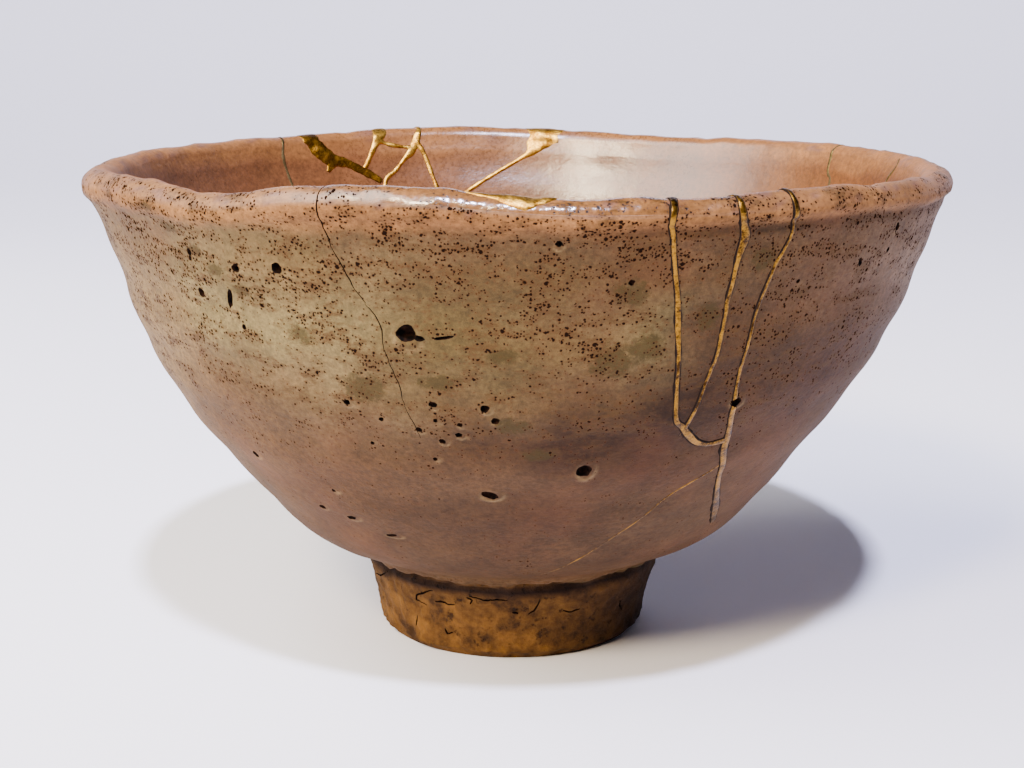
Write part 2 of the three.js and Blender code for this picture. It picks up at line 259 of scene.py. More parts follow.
foot_rise = np.linspace(0, 1, 22, endpoint=False)
foot_side = np.stack([
    FOOT_RADIUS + (FOOT_TOP_RADIUS - FOOT_RADIUS) * foot_rise**2 * (2 - foot_rise),
    FOOT_BEVEL + (FOOT_HEIGHT - FOOT_BEVEL) * foot_rise,
], 1)
lip_turn = np.radians(np.linspace(-50, 175, 18))
lip_centre = np.array([RIM_RADIUS - LIP_BEAD_RADIUS, HEIGHT - LIP_BEAD_RADIUS])
lip_round = lip_centre + LIP_BEAD_RADIUS * np.stack([np.cos(lip_turn), np.sin(lip_turn)], 1)
stretches = {
    "recess": np.vstack([
        straight((0, FOOT_RECESS_DEPTH), (ring_inside - 1.6, FOOT_RECESS_DEPTH), 10),
        straight((ring_inside - 1.6, FOOT_RECESS_DEPTH), (ring_inside, FOOT_RECESS_DEPTH - 1.6), 2),
        straight((ring_inside, FOOT_RECESS_DEPTH - 1.6), (ring_inside, FOOT_BEVEL), 6),
    ]),
    "foot": np.vstack([
        straight((ring_inside, FOOT_BEVEL), (ring_inside + FOOT_BEVEL, 0), 3),
        straight((ring_inside + FOOT_BEVEL, 0), (FOOT_RADIUS - FOOT_BEVEL, 0), 4),
        straight((FOOT_RADIUS - FOOT_BEVEL, 0), (FOOT_RADIUS, FOOT_BEVEL), 3),
        foot_side,
    ]),
    "outside": smooth_curve(body_knots, np.linspace(0, 1, 130)),
    "lip": lip_round,
    "inside": smooth_curve(inside_knots, np.linspace(0, 1, 72)),
    "floor": np.linspace((FLOOR_RADIUS, floor_height), (0, floor_height), 10)[1:],
}
section = np.vstack(list(stretches.values()))
section[:, 0] = np.maximum(section[:, 0], 0)
print("the section has", len(section), "points:", {name: len(rows) for name, rows in stretches.items()})

# %% [markdown]
# ## What the potter's hands did
# The crest of the lip rises and dips by about two millimetres, the wall swells and flattens a little, and
# the foot sits a millimetre off the rim's middle. The crest's height is a smooth closed curve through
# points read round the rim, and it fades out half way down the wall. The rest are soft marks, each at an
# angle and a height. Angles run from 0 at the front over 90 at the right to 180 at the back.

# %% The hand-made form
RIM_WAVE = [
    (-168, 0.012), (-150, 0.004), (-130, -0.001), (-105, -0.003), (-84, -0.008), (-62, 0.004), (-50, 0.007),
    (-38, -0.002), (-24, 0.02), (-10, 0.022), (4, 0.006), (22, 0.004), (40, 0.008), (60, -0.001),
    (82, -0.005), (105, -0.004), (118, -0.001), (135, -0.007), (152, -0.009), (170, -0.001),
]
WAVE_START = 0.5
HAND_MARKS = [
    (-80, 0.84, -0.008), (-80, 0.3, -0.008), (-75, 0.52, 0.004), (78, 0.78, 0.006), (78, 0.46, -0.01),
    (20, 0.62, 0.005), (-20, 0.5, 0.005), (150, 0.7, -0.005), (-140, 0.4, 0.006),
]
MARK_ANGLE = 32.0
MARK_SHARE = 0.11


def turn_between(a, b):
    """Signed degrees from b round to a."""
    return (np.asarray(a, float) - b + 540) % 360 - 180


def rim_rise(angle):
    angles = np.array([a for a, _ in RIM_WAVE], float)
    values = np.array([v for _, v in RIM_WAVE])
    a = (np.asarray(angle, float) - angles[0]) % 360 + angles[0]
    k = np.clip(np.searchsorted(angles, a, side="right") - 1, 0, len(angles) - 1)
    after = np.append(angles[1:], angles[0] + 360)
    w = (a - angles[k]) / (after[k] - angles[k])
    return curve_between(*(values[(k + i) % len(values)] for i in (-1, 0, 1, 2)), w)


def place(radius, height, angle):
    """Where a point of the plain section lies on the hand-made bowl, in millimetres."""
    radius, height, angle = np.broadcast_arrays(*(np.asarray(v, float) for v in (radius, height, angle)))
    share = height / HEIGHT
    lift = smooth_step(share, WAVE_START, 1) * rim_rise(angle) * HEIGHT
    swell = np.zeros_like(share)
    for mark_angle, mark_share, amount in HAND_MARKS:
        across = turn_between(angle, mark_angle) / MARK_ANGLE
        swell += amount * np.exp(-(across**2) - ((share - mark_share) / MARK_SHARE) ** 2)
    r = radius * (1 + swell)
    shift = -FOOT_SHIFT * (1 - np.clip(share, 0, 1))
    a = np.radians(angle)
    return np.stack([r * np.sin(a) + shift, -r * np.cos(a), height + lift], -1)


# %% [markdown]
# ## Along the skin of the bowl
# Everything that happened to the bowl later lies on its skin: pits, cracks and gold. A place on the skin
# is an angle and a distance along the section, from the foot over the lip and down the inside. Clay is
# never smooth, so the skin has a relief: faint throwing rings, soft lumps that are stronger on the lip,
# and a foot that was cut with a knife, with a crumbled groove where the glaze stops. The relief is a
# height in millimetres.


# %% The skin and its relief
skin_rows = np.vstack([foot_side, stretches["outside"], stretches["lip"], stretches["inside"]])
skin_steps = np.concatenate([[0], np.cumsum(np.linalg.norm(np.diff(skin_rows, axis=0), axis=1))])
crest_row = len(foot_side) + len(stretches["outside"]) + int(np.argmin(np.abs(np.degrees(lip_turn) - 90)))
crest = float(skin_steps[crest_row])


def skin_distance(height, inside):
    """Distance along the section of a height, on the outside or on the inside."""
    if inside:
        return np.interp(-np.asarray(height, float), -skin_rows[crest_row:, 1], skin_steps[crest_row:])
    return np.interp(height, skin_rows[: crest_row + 1, 1], skin_steps[: crest_row + 1])


def share_of_outline(height):
    t = np.linspace(0, 1, 300)
    return np.interp(height, smooth_curve(body_knots, t)[:, 1], t)


def other_face(height, inside):
    """Height at which a line comes out on the other face, straight through the wall."""
    slope = wall_points(share_of_outline(height))[1][:, 1]
    return np.asarray(height, float) + (slope if inside else -slope) * WALL


def plain_places(radius, height, angle):
    a = np.radians(angle)
    return np.stack([radius * np.sin(a), -radius * np.cos(a), np.asarray(height, float) + 0 * a], -1)


def waves(places, size, seed, octaves=3):
    """Smooth noise, about -1 to 1, with lumps of a size in millimetres."""
    shift = Vector((seed * 17.3, seed * 5.1, seed * 9.7))
    return np.array([noise.fractal(Vector(p) / size + shift, 0.9, 2.1, octaves) for p in places])


def from_mark(angle, height, radius, mark_angle, mark_height, half_width=1, half_height=1):
    """How far points lie from a mark on the skin, sideways and up, in millimetres or in its half sizes."""
    across = np.radians(turn_between(angle, mark_angle)) * radius / half_width
    return across, (height - mark_height) / half_height


def pit_rim(across, up, middle):
    """The raised ring round a pit, from 0 to 1. Its middle is given in half sizes of the pit."""
    return np.exp(-(((np.hypot(across, up) - middle) / PIT_RIM_SPREAD) ** 2))


def glaze_edge(places):
    """Height at which the glaze stops above the foot."""
    return FOOT_HEIGHT - 0.2 + 0.7 * waves(places, 11, 6, 3)


def lip_ledge(places, height, angle):
    """The shallow groove under the lip, from the front round to the right, as 0 to 1."""
    low = HEIGHT - 4.3 + 0.6 * waves(places, 9, 9, 3)
    ledge = np.exp(-(((height - low) / 0.75) ** 2)) * smooth_step(turn_between(angle, 6), -8, 14)
    return ledge * (1 - smooth_step(turn_between(angle, 85), -8, 12))


def clay_relief(radius, height, angle, inside):
    """How far the skin stands out of the smooth form, in millimetres."""
    places = plain_places(radius, height, angle)
    lip = smooth_step(height, HEIGHT - 7, HEIGHT - 2)
    body = smooth_step(height, FOOT_HEIGHT - 0.5, FOOT_HEIGHT + 2.5)
    rings = 0.14 * np.sin(height / 1.6 + 1.2 * waves(places, 45, 1, 2)) * body * (1 - lip)
    relief = rings + (0.12 + 0.2 * lip) * waves(places, 13, 2) + (0.06 + 0.2 * lip) * waves(places, 4.5, 3)
    outside = ~inside
    foot = (1 - body) * smooth_step(height, 0.02, 1.0) * outside
    relief += foot * (0.3 * waves(places, 5, 4) + 0.3 * waves(places, 1.7, 5, 2))
    edge = glaze_edge(places)
    under = np.exp(-(((height - edge + 0.9) / 0.75) ** 2))
    under *= np.clip(0.9 + 0.9 * waves(places, 8, 7), 0.1, 1.6)
    over = np.exp(-(((height - edge - 0.9) / 0.9) ** 2)) * np.clip(0.5 + waves(places, 3, 8), 0, 1.2)
    relief += outside * (0.6 * over - 1.2 * under - 0.5 * lip_ledge(places, height, angle))
    for pit_angle, pit_height, width, tall, _, rim in PITS:
        near = (abs(turn_between(angle, pit_angle)) < 4) & (abs(height - pit_height) < 5)
        here = np.flatnonzero(outside & near)
        pit = (pit_angle, pit_height, width / 2, tall / 2)
        across, up = from_mark(angle[here], height[here], radius[here], *pit)
        relief[here] += rim * pit_rim(across, up, 1.45) * (0.7 - 0.3 * np.clip(up, -1, 1))
    return relief * (height > 0.02)


def skin(angle, distance, lift=0.0, rough=True):
    """Places on the hand-made bowl at angles and distances along the section, raised by a lift."""
    angle, distance, lift = (np.ravel(v).astype(float) for v in np.broadcast_arrays(angle, distance, lift))
    row, ahead, behind = (
        np.stack([np.interp(distance + step, skin_steps, skin_rows[:, i]) for i in (0, 1)], -1)
        for step in (0, 0.6, -0.6)
    )
    along = ahead - behind
    normal = np.stack([along[:, 1], -along[:, 0]], -1)
    normal /= np.linalg.norm(normal, axis=-1)[:, None]
    if rough:
        lift = lift + clay_relief(row[:, 0], row[:, 1], angle, distance > crest + 3)
    raised = row + normal * lift[:, None]
    return place(raised[:, 0], raised[:, 1], angle)


# %% [markdown]
# ## Pits in the glaze
# Gas that left the clay in the kiln burst through the glaze. It left burnt holes and open bubbles, each
# with a low rim. They are listed as angle, height, width, height of the hole, tilt in degrees, and how
# far the rim stands out, in millimetres.

# %% Pits
PITS = [
    (-13.0, 64.9, 2.6, 2.1, 10, 0.22), (-42.3, 69.3, 1.2, 1.4, 0, 0.12), (-37.0, 69.2, 0.9, 3.2, -20, 0.25),
    (-42.0, 75.7, 0.9, 1.1, 0, 0.08), (-35.9, 64.8, 0.7, 0.8, 0, 0.1), (-34.5, 74.0, 1.2, 1.2, 0, 0.1),
    (-28.4, 73.8, 1.5, 1.5, 0, 0.12), (10.3, 43.4, 1.9, 2.4, 15, 0.25), (-3.9, 38.6, 2.3, 1.4, -25, 0.22),
    (30.9, 53.3, 1.7, 1.4, 20, 0.12), (-3.9, 54.3, 1.1, 1.1, 0, 0.2), (-2.6, 52.4, 1.1, 1.0, 0, 0.22),
    (-22.5, 54.1, 0.9, 0.8, 0, 0.1), (-10.6, 54.6, 1.1, 0.8, 0, 0.12), (-18.1, 51.7, 0.75, 0.7, 0, 0.06),
    (-13.0, 50.4, 0.9, 0.8, 0, 0.08), (-10.5, 52.1, 0.6, 0.6, 0, 0.05), (-7.3, 51.5, 0.75, 0.7, 0, 0.05),
    (-10.0, 48.5, 0.9, 0.8, 0, 0.08), (-7.6, 49.7, 0.9, 0.8, 0, 0.06), (-11.4, 45.4, 0.6, 0.6, 0, 0.04),
    (-20.5, 47.3, 0.6, 0.6, 0, 0.04), (-47.2, 41.0, 1.2, 1.3, 0, 0.1), (-32.3, 31.1, 1.7, 0.9, 20, 0.08),
    (-25.1, 28.2, 2.1, 0.6, 15, 0.05), (-38.7, 32.2, 1.2, 0.9, 20, 0.06),
    (-32.4, 36.6, 0.65, 0.65, 0, 0.04), (52.3, 78.1, 0.9, 1.3, 30, 0.06), (51.8, 74.6, 0.8, 0.8, 0, 0.05),
    (45.8, 73.3, 0.8, 1.4, 25, 0.06), (35.3, 71.5, 0.6, 0.6, 0, 0.04), (12.8, 73.4, 0.85, 0.8, 0, 0.06),
    (4.4, 79.0, 0.9, 0.8, 0, 0.06),
]
PIT_RIM_SPREAD = 0.35
SLIT = (-8.5, 64.6, 2.8, 0.5, 8, 0.0)
HOLE_EDGE = (-11.5, 64.4, 1.5, 0.8, -10, 0.0)
print(len(PITS), "pits")

# %% [markdown]
# ## Throwing the bowl
# The section is a line of points, spun round the axis as on a wheel. Blender's Spin makes equal steps,
# but the front needs a finer mesh than the back, so the steps are then drawn together towards the front.
# Round each pit the mesh is divided again, so that the pit's rim has points to stand on.

# %% Spin the section
TURNS = 252
CROWDING = 0.42


def spin_section(points):
    bpy.ops.object.select_all(action="DESELECT")
    bpy.ops.mesh.primitive_circle_add(vertices=len(points), radius=1, fill_type="NOTHING")
    spun = bpy.context.object
    spun.name = "bowl_clay"
    move_corners(spun, np.stack([np.zeros(len(points)), -points[:, 0], points[:, 1]], 1) * MM)
    ends = {0, len(points) - 1}
    bpy.ops.object.mode_set(mode="EDIT")
    bpy.ops.mesh.select_mode(type="EDGE")
    bpy.ops.mesh.select_all(action="DESELECT")
    bpy.ops.object.mode_set(mode="OBJECT")
    for edge in spun.data.edges:
        edge.select = set(edge.vertices) == ends
    bpy.ops.object.mode_set(mode="EDIT")
    bpy.ops.mesh.delete(type="EDGE")
    bpy.ops.mesh.select_all(action="SELECT")
    bpy.ops.mesh.spin(steps=TURNS, angle=math.tau, center=(0, 0, 0), axis=(0, 0, 1))
    bpy.ops.mesh.select_all(action="SELECT")
    bpy.ops.mesh.remove_doubles(threshold=0.000002)
    bpy.ops.mesh.normals_make_consistent(inside=False)
    bpy.ops.object.mode_set(mode="OBJECT")
    return spun


def true_angle(places):
    """Angles of points of the evenly spun mesh once its steps are drawn towards the front."""
    even = np.arctan2(places[:, 0], -places[:, 1])
    return np.degrees(even - CROWDING * np.sin(even))


def refine_near(obj, spots, cuts):
    """Divides the outside faces that lie near spots, given as (angle, height, reach in mm)."""
    centres = rows_of(obj.data.polygons, "center") / MM
    normals = rows_of(obj.data.polygons, "normal")
    radius = np.hypot(centres[:, 0], centres[:, 1])
    facing_out = (normals[:, :2] * centres[:, :2]).sum(1) > 0
    angle = true_angle(centres)
    chosen = np.zeros(len(centres), bool)
    for spot_angle, spot_height, reach in spots:
        gap = np.hypot(*from_mark(angle, centres[:, 2], radius, spot_angle, spot_height))
        chosen |= facing_out & (gap < reach)
    select_only(obj)
    bpy.ops.object.mode_set(mode="EDIT")
    bpy.ops.mesh.select_mode(type="FACE")
    bpy.ops.mesh.select_all(action="DESELECT")
    bpy.ops.object.mode_set(mode="OBJECT")
    obj.data.polygons.foreach_set("select", chosen)
    bpy.ops.object.mode_set(mode="EDIT")
    bpy.ops.mesh.subdivide(number_cuts=cuts)
    bpy.ops.object.mode_set(mode="OBJECT")
    return int(chosen.sum())


bowl = spin_section(section)
spots = [(p[0], p[1], 0.9 * max(p[2], p[3]) + 0.6) for p in PITS if p[2] > 0.8]
print("divided", refine_near(bowl, spots, 2), "faces near pits")

# %% [markdown]
# ## Give the bowl its hand-made form
# Each point moves out along its normal by the relief, and is then carried by the waves of the rim, the
# swells of the wall and the shift of the foot. The relief fades out towards the axis.

# %% Hand-made form
plain = corners_of(bowl) / MM
outward = rows_of(bowl.data.vertices, "normal")
radius = np.hypot(plain[:, 0], plain[:, 1])
height = plain[:, 2]
angle = true_angle(plain)
out_part = (outward[:, :2] * plain[:, :2]).sum(1) / np.maximum(radius, 0.01)
outline = smooth_curve(body_knots, np.linspace(0, 1, 400))
inside = (height > floor_height - 1) & (radius < np.interp(height, outline[:, 1], outline[:, 0]) - 2.3)
relief = clay_relief(radius, height, angle, inside)
relief *= smooth_step(radius, 2, 12)
formed = place(radius + out_part * relief, np.maximum(height + outward[:, 2] * relief, 0), angle)
move_corners(bowl, formed * MM)
print("relief", round(relief.min(), 2), "to", round(relief.max(), 2), "mm;", len(plain), "points")

# %% [markdown]
# ## Materials: what the surfaces are
# The glaze is a thin ash glaze over iron-rich stoneware, semi-matt, buff where it is thick and pink-brown
# where it is thin. Iron in the clay burnt through it as dark dots with rusty halos. A node is added by
# one small function, colours are written as they look on screen and turned linear, and pattern sizes are
# real millimetres.


# %% Colours and nodes
def linear(hex_colour):
    """An sRGB hex colour as linear red, green, blue and alpha."""
    parts = [int(hex_colour[i : i + 2], 16) / 255 for i in (1, 3, 5)]
    return [c / 12.92 if c <= 0.04045 else ((c + 0.055) / 1.055) ** 2.4 for c in parts] + [1.0]


def fill(node, inputs):
    """Fills inputs of a node with values or with the outputs of other nodes."""
    for key, value in inputs.items():
        if isinstance(value, bpy.types.NodeSocket):
            node.id_data.links.new(value, node.inputs[key])
        else:
            node.inputs[key].default_value = value


def add_node(tree, kind, inputs, out=None, **settings):
    """Adds a node with its settings and inputs, and gives back the named output or the first in use."""
    node = tree.nodes.new("ShaderNode" + kind)
    for name, value in settings.items():
        setattr(node, name, value)
    fill(node, inputs)
    return node.outputs[out] if out else next(socket for socket in node.outputs if socket.enabled)


def start_material(name):
    """A new material with its shader, its Object coordinates, and add_node set to its own node tree."""
    material = bpy.data.materials.new(name)
    material.use_nodes = True
    add = functools.partial(add_node, material.node_tree)
    return material, add, material.node_tree.nodes["Principled BSDF"], add("TexCoord", {}, "Object")


def per_mm(size):
    """Texture scale for a pattern of a size in millimetres."""
    return 1 / (size * MM)


# %% [markdown]
# ## The glaze
# The broad tones are an attribute of the mesh, so here they are only mottled: clouds of a centimetre,
# fine grain under a millimetre, and faint streaks round the bowl. The glaze is glossy only where it ran
# thick, on the lip and inside, and there it lies in small lumps. The dots are cells of a Voronoi texture:
# each cell's own random value gives its dot a size, and the attribute speckles says how many show.

# %% Glaze
glaze, add, shader, coords = start_material("ash_glazed_stoneware")
MARKS = ("speckles", "smudges_and_foot_shade", "gloss", "mottle")
marks = {name: add("Attribute", {}, "Fac", attribute_name=name) for name in MARKS}
tone = add("Attribute", {}, "Color", attribute_name="tone")
flat_coords = add("VectorMath", {0: coords, 1: (1, 1, 2.4)}, operation="MULTIPLY")
noises = {
    name: add("TexNoise", {"Vector": where, "Scale": per_mm(size), "Detail": detail, "Roughness": roughness})
    for name, where, size, detail, roughness in (
        ("clouds", coords, 9, 5, 0.62), ("grain", coords, 0.9, 4, 0.72), ("streaks", flat_coords, 10, 6, 0.7),
        ("blotches", flat_coords, 5, 8, 0.76), ("blush", coords, 22, 6, 0.6), ("ragged", coords, 1.5, 6, 0.8),
        ("clusters", flat_coords, 5, 3, 0.55), ("lumps", coords, 1.7, 1, 0.5),
    )
}
shade = 1.0
for name, least, most in (("clouds", 0.82, 1.16), ("grain", 0.66, 1.3), ("streaks", 0.84, 1.14)):
    part = {"Value": noises[name], "From Min": 0.32, "From Max": 0.68, "To Min": least, "To Max": most}
    shade = add("Math", {0: shade, 1: add("MapRange", part)}, operation="MULTIPLY")
colour = add("VectorMath", {0: tone, "Scale": shade}, operation="SCALE")
mottle_spots = add(
    "MapRange", {"Value": noises["blotches"], "From Min": 0.48, "From Max": 0.62, "To Max": 0.85}
)
mottle_mask = add("Math", {0: mottle_spots, 1: marks["mottle"]}, operation="MULTIPLY")
blush_mask = add("MapRange", {"Value": noises["blush"], "From Min": 0.5, "From Max": 0.68, "To Max": 0.14})
smudge_edge = add("Math", {0: noises["ragged"], 1: 1.7, 2: marks["smudges_and_foot_shade"]}, operation="MULTIPLY_ADD")
smudge_mask = add("MapRange", {"Value": smudge_edge, "From Min": 1.3, "From Max": 1.6, "To Max": 0.72})
for mask, stain in ((blush_mask, "#7c4a30"), (mottle_mask, "#453016"), (smudge_mask, "#33290f")):
    colour = add("Mix", {0: mask, 6: colour, 7: linear(stain)}, data_type="RGBA")
clusters = {"Value": noises["clusters"], "From Min": 0.38, "From Max": 0.62, "To Min": 0.25, "To Max": 1.4}
crowding = add("Math", {0: add("MapRange", clusters), 1: marks["speckles"]}, operation="MULTIPLY")
dots, halos = 0.0, 0.0
for size, crowd in ((0.62, 0.75), (1.0, 0.45), (0.45, 0.7)):
    bent = add("TexNoise", {"Vector": coords, "Scale": per_mm(size * 0.4), "Detail": 2}, "Color")
    bent = add("VectorMath", {0: bent, 1: (0.45 * size * MM,) * 3, 2: coords}, operation="MULTIPLY_ADD")
    cells = add("TexVoronoi", {"Vector": bent, "Scale": per_mm(size)}).node.outputs
    chance = add("SeparateColor", {"Color": cells["Color"]})
    spare = add("Math", {0: crowding, 1: crowd}, operation="MULTIPLY")
    spare = add("Math", {0: spare, 1: chance}, operation="SUBTRACT")
    reach = add("MapRange", {"Value": spare, "From Max": 0.35, "To Min": 0.05, "To Max": 0.36})
    inner = add("Math", {0: reach, 1: cells["Distance"]}, operation="SUBTRACT")
    exists = add("Math", {0: spare, 1: 0.0}, operation="GREATER_THAN")
    dot = add("MapRange", {"Value": inner, "From Max": 0.08})
    dot = add("Math", {0: dot, 1: exists}, operation="MULTIPLY")
    halo = add("MapRange", {"Value": inner, "From Min": -0.3, "From Max": 0.1})
    halo = add("Math", {0: halo, 1: exists}, operation="MULTIPLY")
    dots = add("Math", {0: dots, 1: dot}, operation="MAXIMUM")
    halos = add("Math", {0: halos, 1: halo}, operation="MAXIMUM")
for mask, strength, stain in ((halos, 0.5, "#4c2a14"), (dots, 0.97, "#120a07")):
    mask = add("Math", {0: mask, 1: strength}, operation="MULTIPLY")
    colour = add("Mix", {0: mask, 6: colour, 7: linear(stain)}, data_type="RGBA")
gloss = {"Value": marks["gloss"]}
lip_lumps = add("MapRange", {**gloss, "From Min": 0.86, "From Max": 1.0, "To Max": 2.6})
bumps = 0.0
for layer, amount in (
    (noises["clouds"], 1.0), (noises["streaks"], 0.6), (noises["ragged"], 0.16), (noises["grain"], 0.07),
    (dots, -0.14), (noises["lumps"], lip_lumps),
):
    bumps = add("Math", {0: layer, 1: amount, 2: bumps}, operation="MULTIPLY_ADD")
evenness = add("MapRange", {**gloss, "To Min": 0.7, "To Max": 0.2})
dull = add("MapRange", {**gloss, "To Min": 0.64, "To Max": 0.15})
for layer, amount in ((noises["grain"], 0.08), (dots, 0.3)):
    dull = add("Math", {0: layer, 1: amount, 2: dull}, operation="MULTIPLY_ADD")
fill(shader, {
    "Base Color": colour,
    "Normal": add("Bump", {"Height": bumps, "Strength": evenness, "Distance": 0.6 * MM}),
    "Roughness": dull,
    "Specular IOR Level": add("Math", {0: dots, 1: -0.8, 2: marks["gloss"]}, operation="MULTIPLY_ADD"),
    "IOR": 1.5,
})

# %% [markdown]
# ## Bare clay, burnt clay and broken clay
# The foot was wiped clean of glaze before the firing: it is rusty, dry and open. Inside the pits the clay
# is burnt nearly black. The faces of the breaks can only be guessed at: they are the same clay, lighter.


# %% Clays
def clay(name, size, detail, noise_roughness, span, low, high, inputs):
    """Dry clay that is mottled between two colours, with what is needed to add more to it."""
    material, add, shader, coords = start_material(name)
    noise_inputs = {"Vector": coords, "Scale": per_mm(size), "Detail": detail, "Roughness": noise_roughness}
    clumps = add("TexNoise", noise_inputs)
    mix = add("MapRange", {"Value": clumps, "From Min": span[0], "From Max": span[1]})
    colour = add("Mix", {0: mix, 6: linear(low), 7: linear(high)}, data_type="RGBA")
    fill(shader, {"Base Color": colour, **inputs})
    return material, add, shader, coords, clumps, colour


FOOT_FINISH = {"Roughness": 0.9, "Specular IOR Level": 0.15}
foot_clay, add, shader, coords, clumps, colour = clay(
    "bare_foot_clay", 5, 8, 0.68, (0.36, 0.66), "#321e0b", "#764f1f", FOOT_FINISH
)
holes = add("TexNoise", {"Vector": coords, "Scale": per_mm(1.8), "Detail": 5, "Roughness": 0.7})
hole_mask = add("MapRange", {"Value": holes, "From Min": 0.4, "From Max": 0.33, "To Max": 0.7})
# Painted shade: the attribute darkens the band under the glaze edge and the right side of the foot.
shadow_part = add("Attribute", {}, "Fac", attribute_name="smudges_and_foot_shade")
for mask, stain in ((hole_mask, "#1f130c"), (shadow_part, "#20130c")):
    colour = add("Mix", {0: mask, 6: colour, 7: linear(stain)}, data_type="RGBA")
clay_bumps = add("Math", {0: hole_mask, 1: -0.6, 2: clumps}, operation="MULTIPLY_ADD")
clay_bumps = add("Bump", {"Height": clay_bumps, "Strength": 0.9, "Distance": 1.0 * MM})
fill(shader, {"Base Color": colour, "Normal": clay_bumps})
PIT_FINISH = {"Roughness": 0.85, "Specular IOR Level": 0.05}
burnt_clay = clay("burnt_pit_clay", 0.9, 4, 0.5, (0.4, 0.7), "#080504", "#2c190f", PIT_FINISH)[0]
broken_clay = clay("broken_clay", 1.5, 6, 0.5, (0, 1), "#7d5a3c", "#b08a62", {"Roughness": 0.9})[0]

# %% [markdown]
# ## Gold on lacquer
# The sherds were glued with dark lacquer, and gold powder was dusted on while the last coat was wet. So
# the line is a low dome: gold with a fine powder grain on its back, and a rim of bare dark lacquer where
# the powder did not reach. The attribute across is 0 on the middle of a line and 1 at its edge.


# %% Gold
def gold_material(name, low, high, roughness, worn, edge_at):
    material, add, shader, coords = start_material(name)
    powder, pools = (
        add("TexNoise", {"Vector": coords, "Scale": per_mm(size), "Detail": detail, "Roughness": fineness})
        for size, detail, fineness in ((0.45, 5, 0.7), (3.2, 4, 0.6))
    )
    mix = add("Math", {0: powder, 1: pools}, operation="ADD")
    mix = add("MapRange", {"Value": mix, "From Min": 0.86, "From Max": 1.14})
    gold = add("Mix", {0: mix, 6: linear(low), 7: linear(high)}, data_type="RGBA")
    across = add("Attribute", {}, "Fac", attribute_name="across")
    ragged_edge = add("Math", {0: powder, 1: 0.3, 2: across}, operation="MULTIPLY_ADD")
    bare = add("MapRange", {"Value": ragged_edge, "From Min": edge_at, "From Max": edge_at + 0.12})
    wear_from, wear_to = 0.62 - 0.3 * worn, 0.72 - 0.3 * worn
    wear = add("MapRange", {"Value": pools, "From Min": wear_from, "From Max": wear_to, "To Max": worn})
    bare = add("Math", {0: bare, 1: wear}, operation="MAXIMUM")
    fill(shader, {
        "Base Color": add("Mix", {0: bare, 6: gold, 7: linear("#160c06")}, data_type="RGBA"),
        "Metallic": add("Math", {0: 1.0, 1: bare}, operation="SUBTRACT"),
        "Normal": add("Bump", {"Height": powder, "Strength": 0.55, "Distance": 0.12 * MM}),
        "Roughness": add("MapRange", {"Value": bare, "To Min": roughness, "To Max": 0.8}),
        "Specular IOR Level": add("MapRange", {"Value": bare, "To Min": 0.5, "To Max": 0.08}),
    })
    return material


gold = gold_material("gold_powder_lacquer", "#2e1b06", "#8a621f", 0.36, 0.0, 0.84)
bright_gold = gold_material("bright_gold_lacquer", "#8c5c14", "#e0ac45", 0.4, 0.0, 1.0)
dark_gold = gold_material("dark_gold_lacquer", "#5f3d0f", "#9a6c1c", 0.4, 0.25, 1.1)
# Partly painted shade: these side lines are a darker olive gold because such lines look dark in shade; the
# patches of bare lacquer are wear.
dull_lacquer = gold_material("worn_and_shaded_gold_lacquer", "#4c3f24", "#776338", 0.5, 0.6, 1.0)

# %% [markdown]
# ## Boolean cutters
# Pits and breaks are cut with Blender's Boolean modifier. Its manifold solver is quick and gives each new
# face the material of the cutter, so a burnt pit and a broken edge get their own clay as they are cut.


# %% Cutters
def pit_cutter(pit, seed):
    """A lumpy ball, squashed to the size of a pit and sunk into the skin."""
    pit_angle, pit_height, width, tall, tilt, _ = pit
    bpy.ops.object.select_all(action="DESELECT")
    bpy.ops.mesh.primitive_ico_sphere_add(subdivisions=3, radius=1)
    ball = bpy.context.object
    lumpy = corners_of(ball)
    shift = Vector((seed * 3.7, seed * 1.9, 0))
    swell = np.array([1 + 0.28 * noise.noise(Vector(p) * 1.3 + shift) for p in lumpy])
    lumpy = lumpy * swell[:, None]
    depth = 0.75 * min(width, tall) + 0.25
    turn = math.radians(tilt)
    distance = skin_distance(pit_height, False)
    centre = skin(pit_angle, distance, 0.1)[0]
    up = skin(pit_angle, distance + 0.5, 0.1)[0] - skin(pit_angle, distance - 0.5, 0.1)[0]
    up /= np.linalg.norm(up)
    side = np.array([math.cos(math.radians(pit_angle)), math.sin(math.radians(pit_angle)), 0])
    out = np.cross(side, up)
    across = lumpy[:, 0] * width * 0.58
    along = lumpy[:, 1] * tall * 0.58
    x = across * math.cos(turn) - along * math.sin(turn)
    y = across * math.sin(turn) + along * math.cos(turn)
    places = centre + x[:, None] * side + y[:, None] * up + (lumpy[:, 2] * depth)[:, None] * out
    move_corners(ball, places * MM)
    ball.data.materials.append(burnt_clay)
    return ball


def wall_between(name, top, bottom, half, material):
    """A thin closed wall between two rows of points, half as thick to each side."""
    along = np.gradient(top, axis=0)
    across = np.cross(along, top - bottom)
    across *= (np.broadcast_to(half, len(top)) / np.linalg.norm(across, axis=1))[:, None]
    corners = [top + across, top - across, bottom - across, bottom + across]
    return closed_tube(name, np.stack(corners, 1), material)


def cut_away(obj, cutter):
    before = len(obj.data.polygons)
    apply_modifier(
        obj, "BOOLEAN", object=cutter, operation="DIFFERENCE", solver="MANIFOLD", material_mode="TRANSFER"
    )
    if len(obj.data.polygons) == 0:
        raise RuntimeError("the cut " + cutter.name + " took everything away")
    if len(obj.data.polygons) == before:
        print("the cut", cutter.name, "changed nothing")
    bpy.data.objects.remove(cutter, do_unlink=True)


def join(objects):
    select_only(*objects)
    if len(objects) > 1:
        bpy.ops.object.join()
    return objects[0]


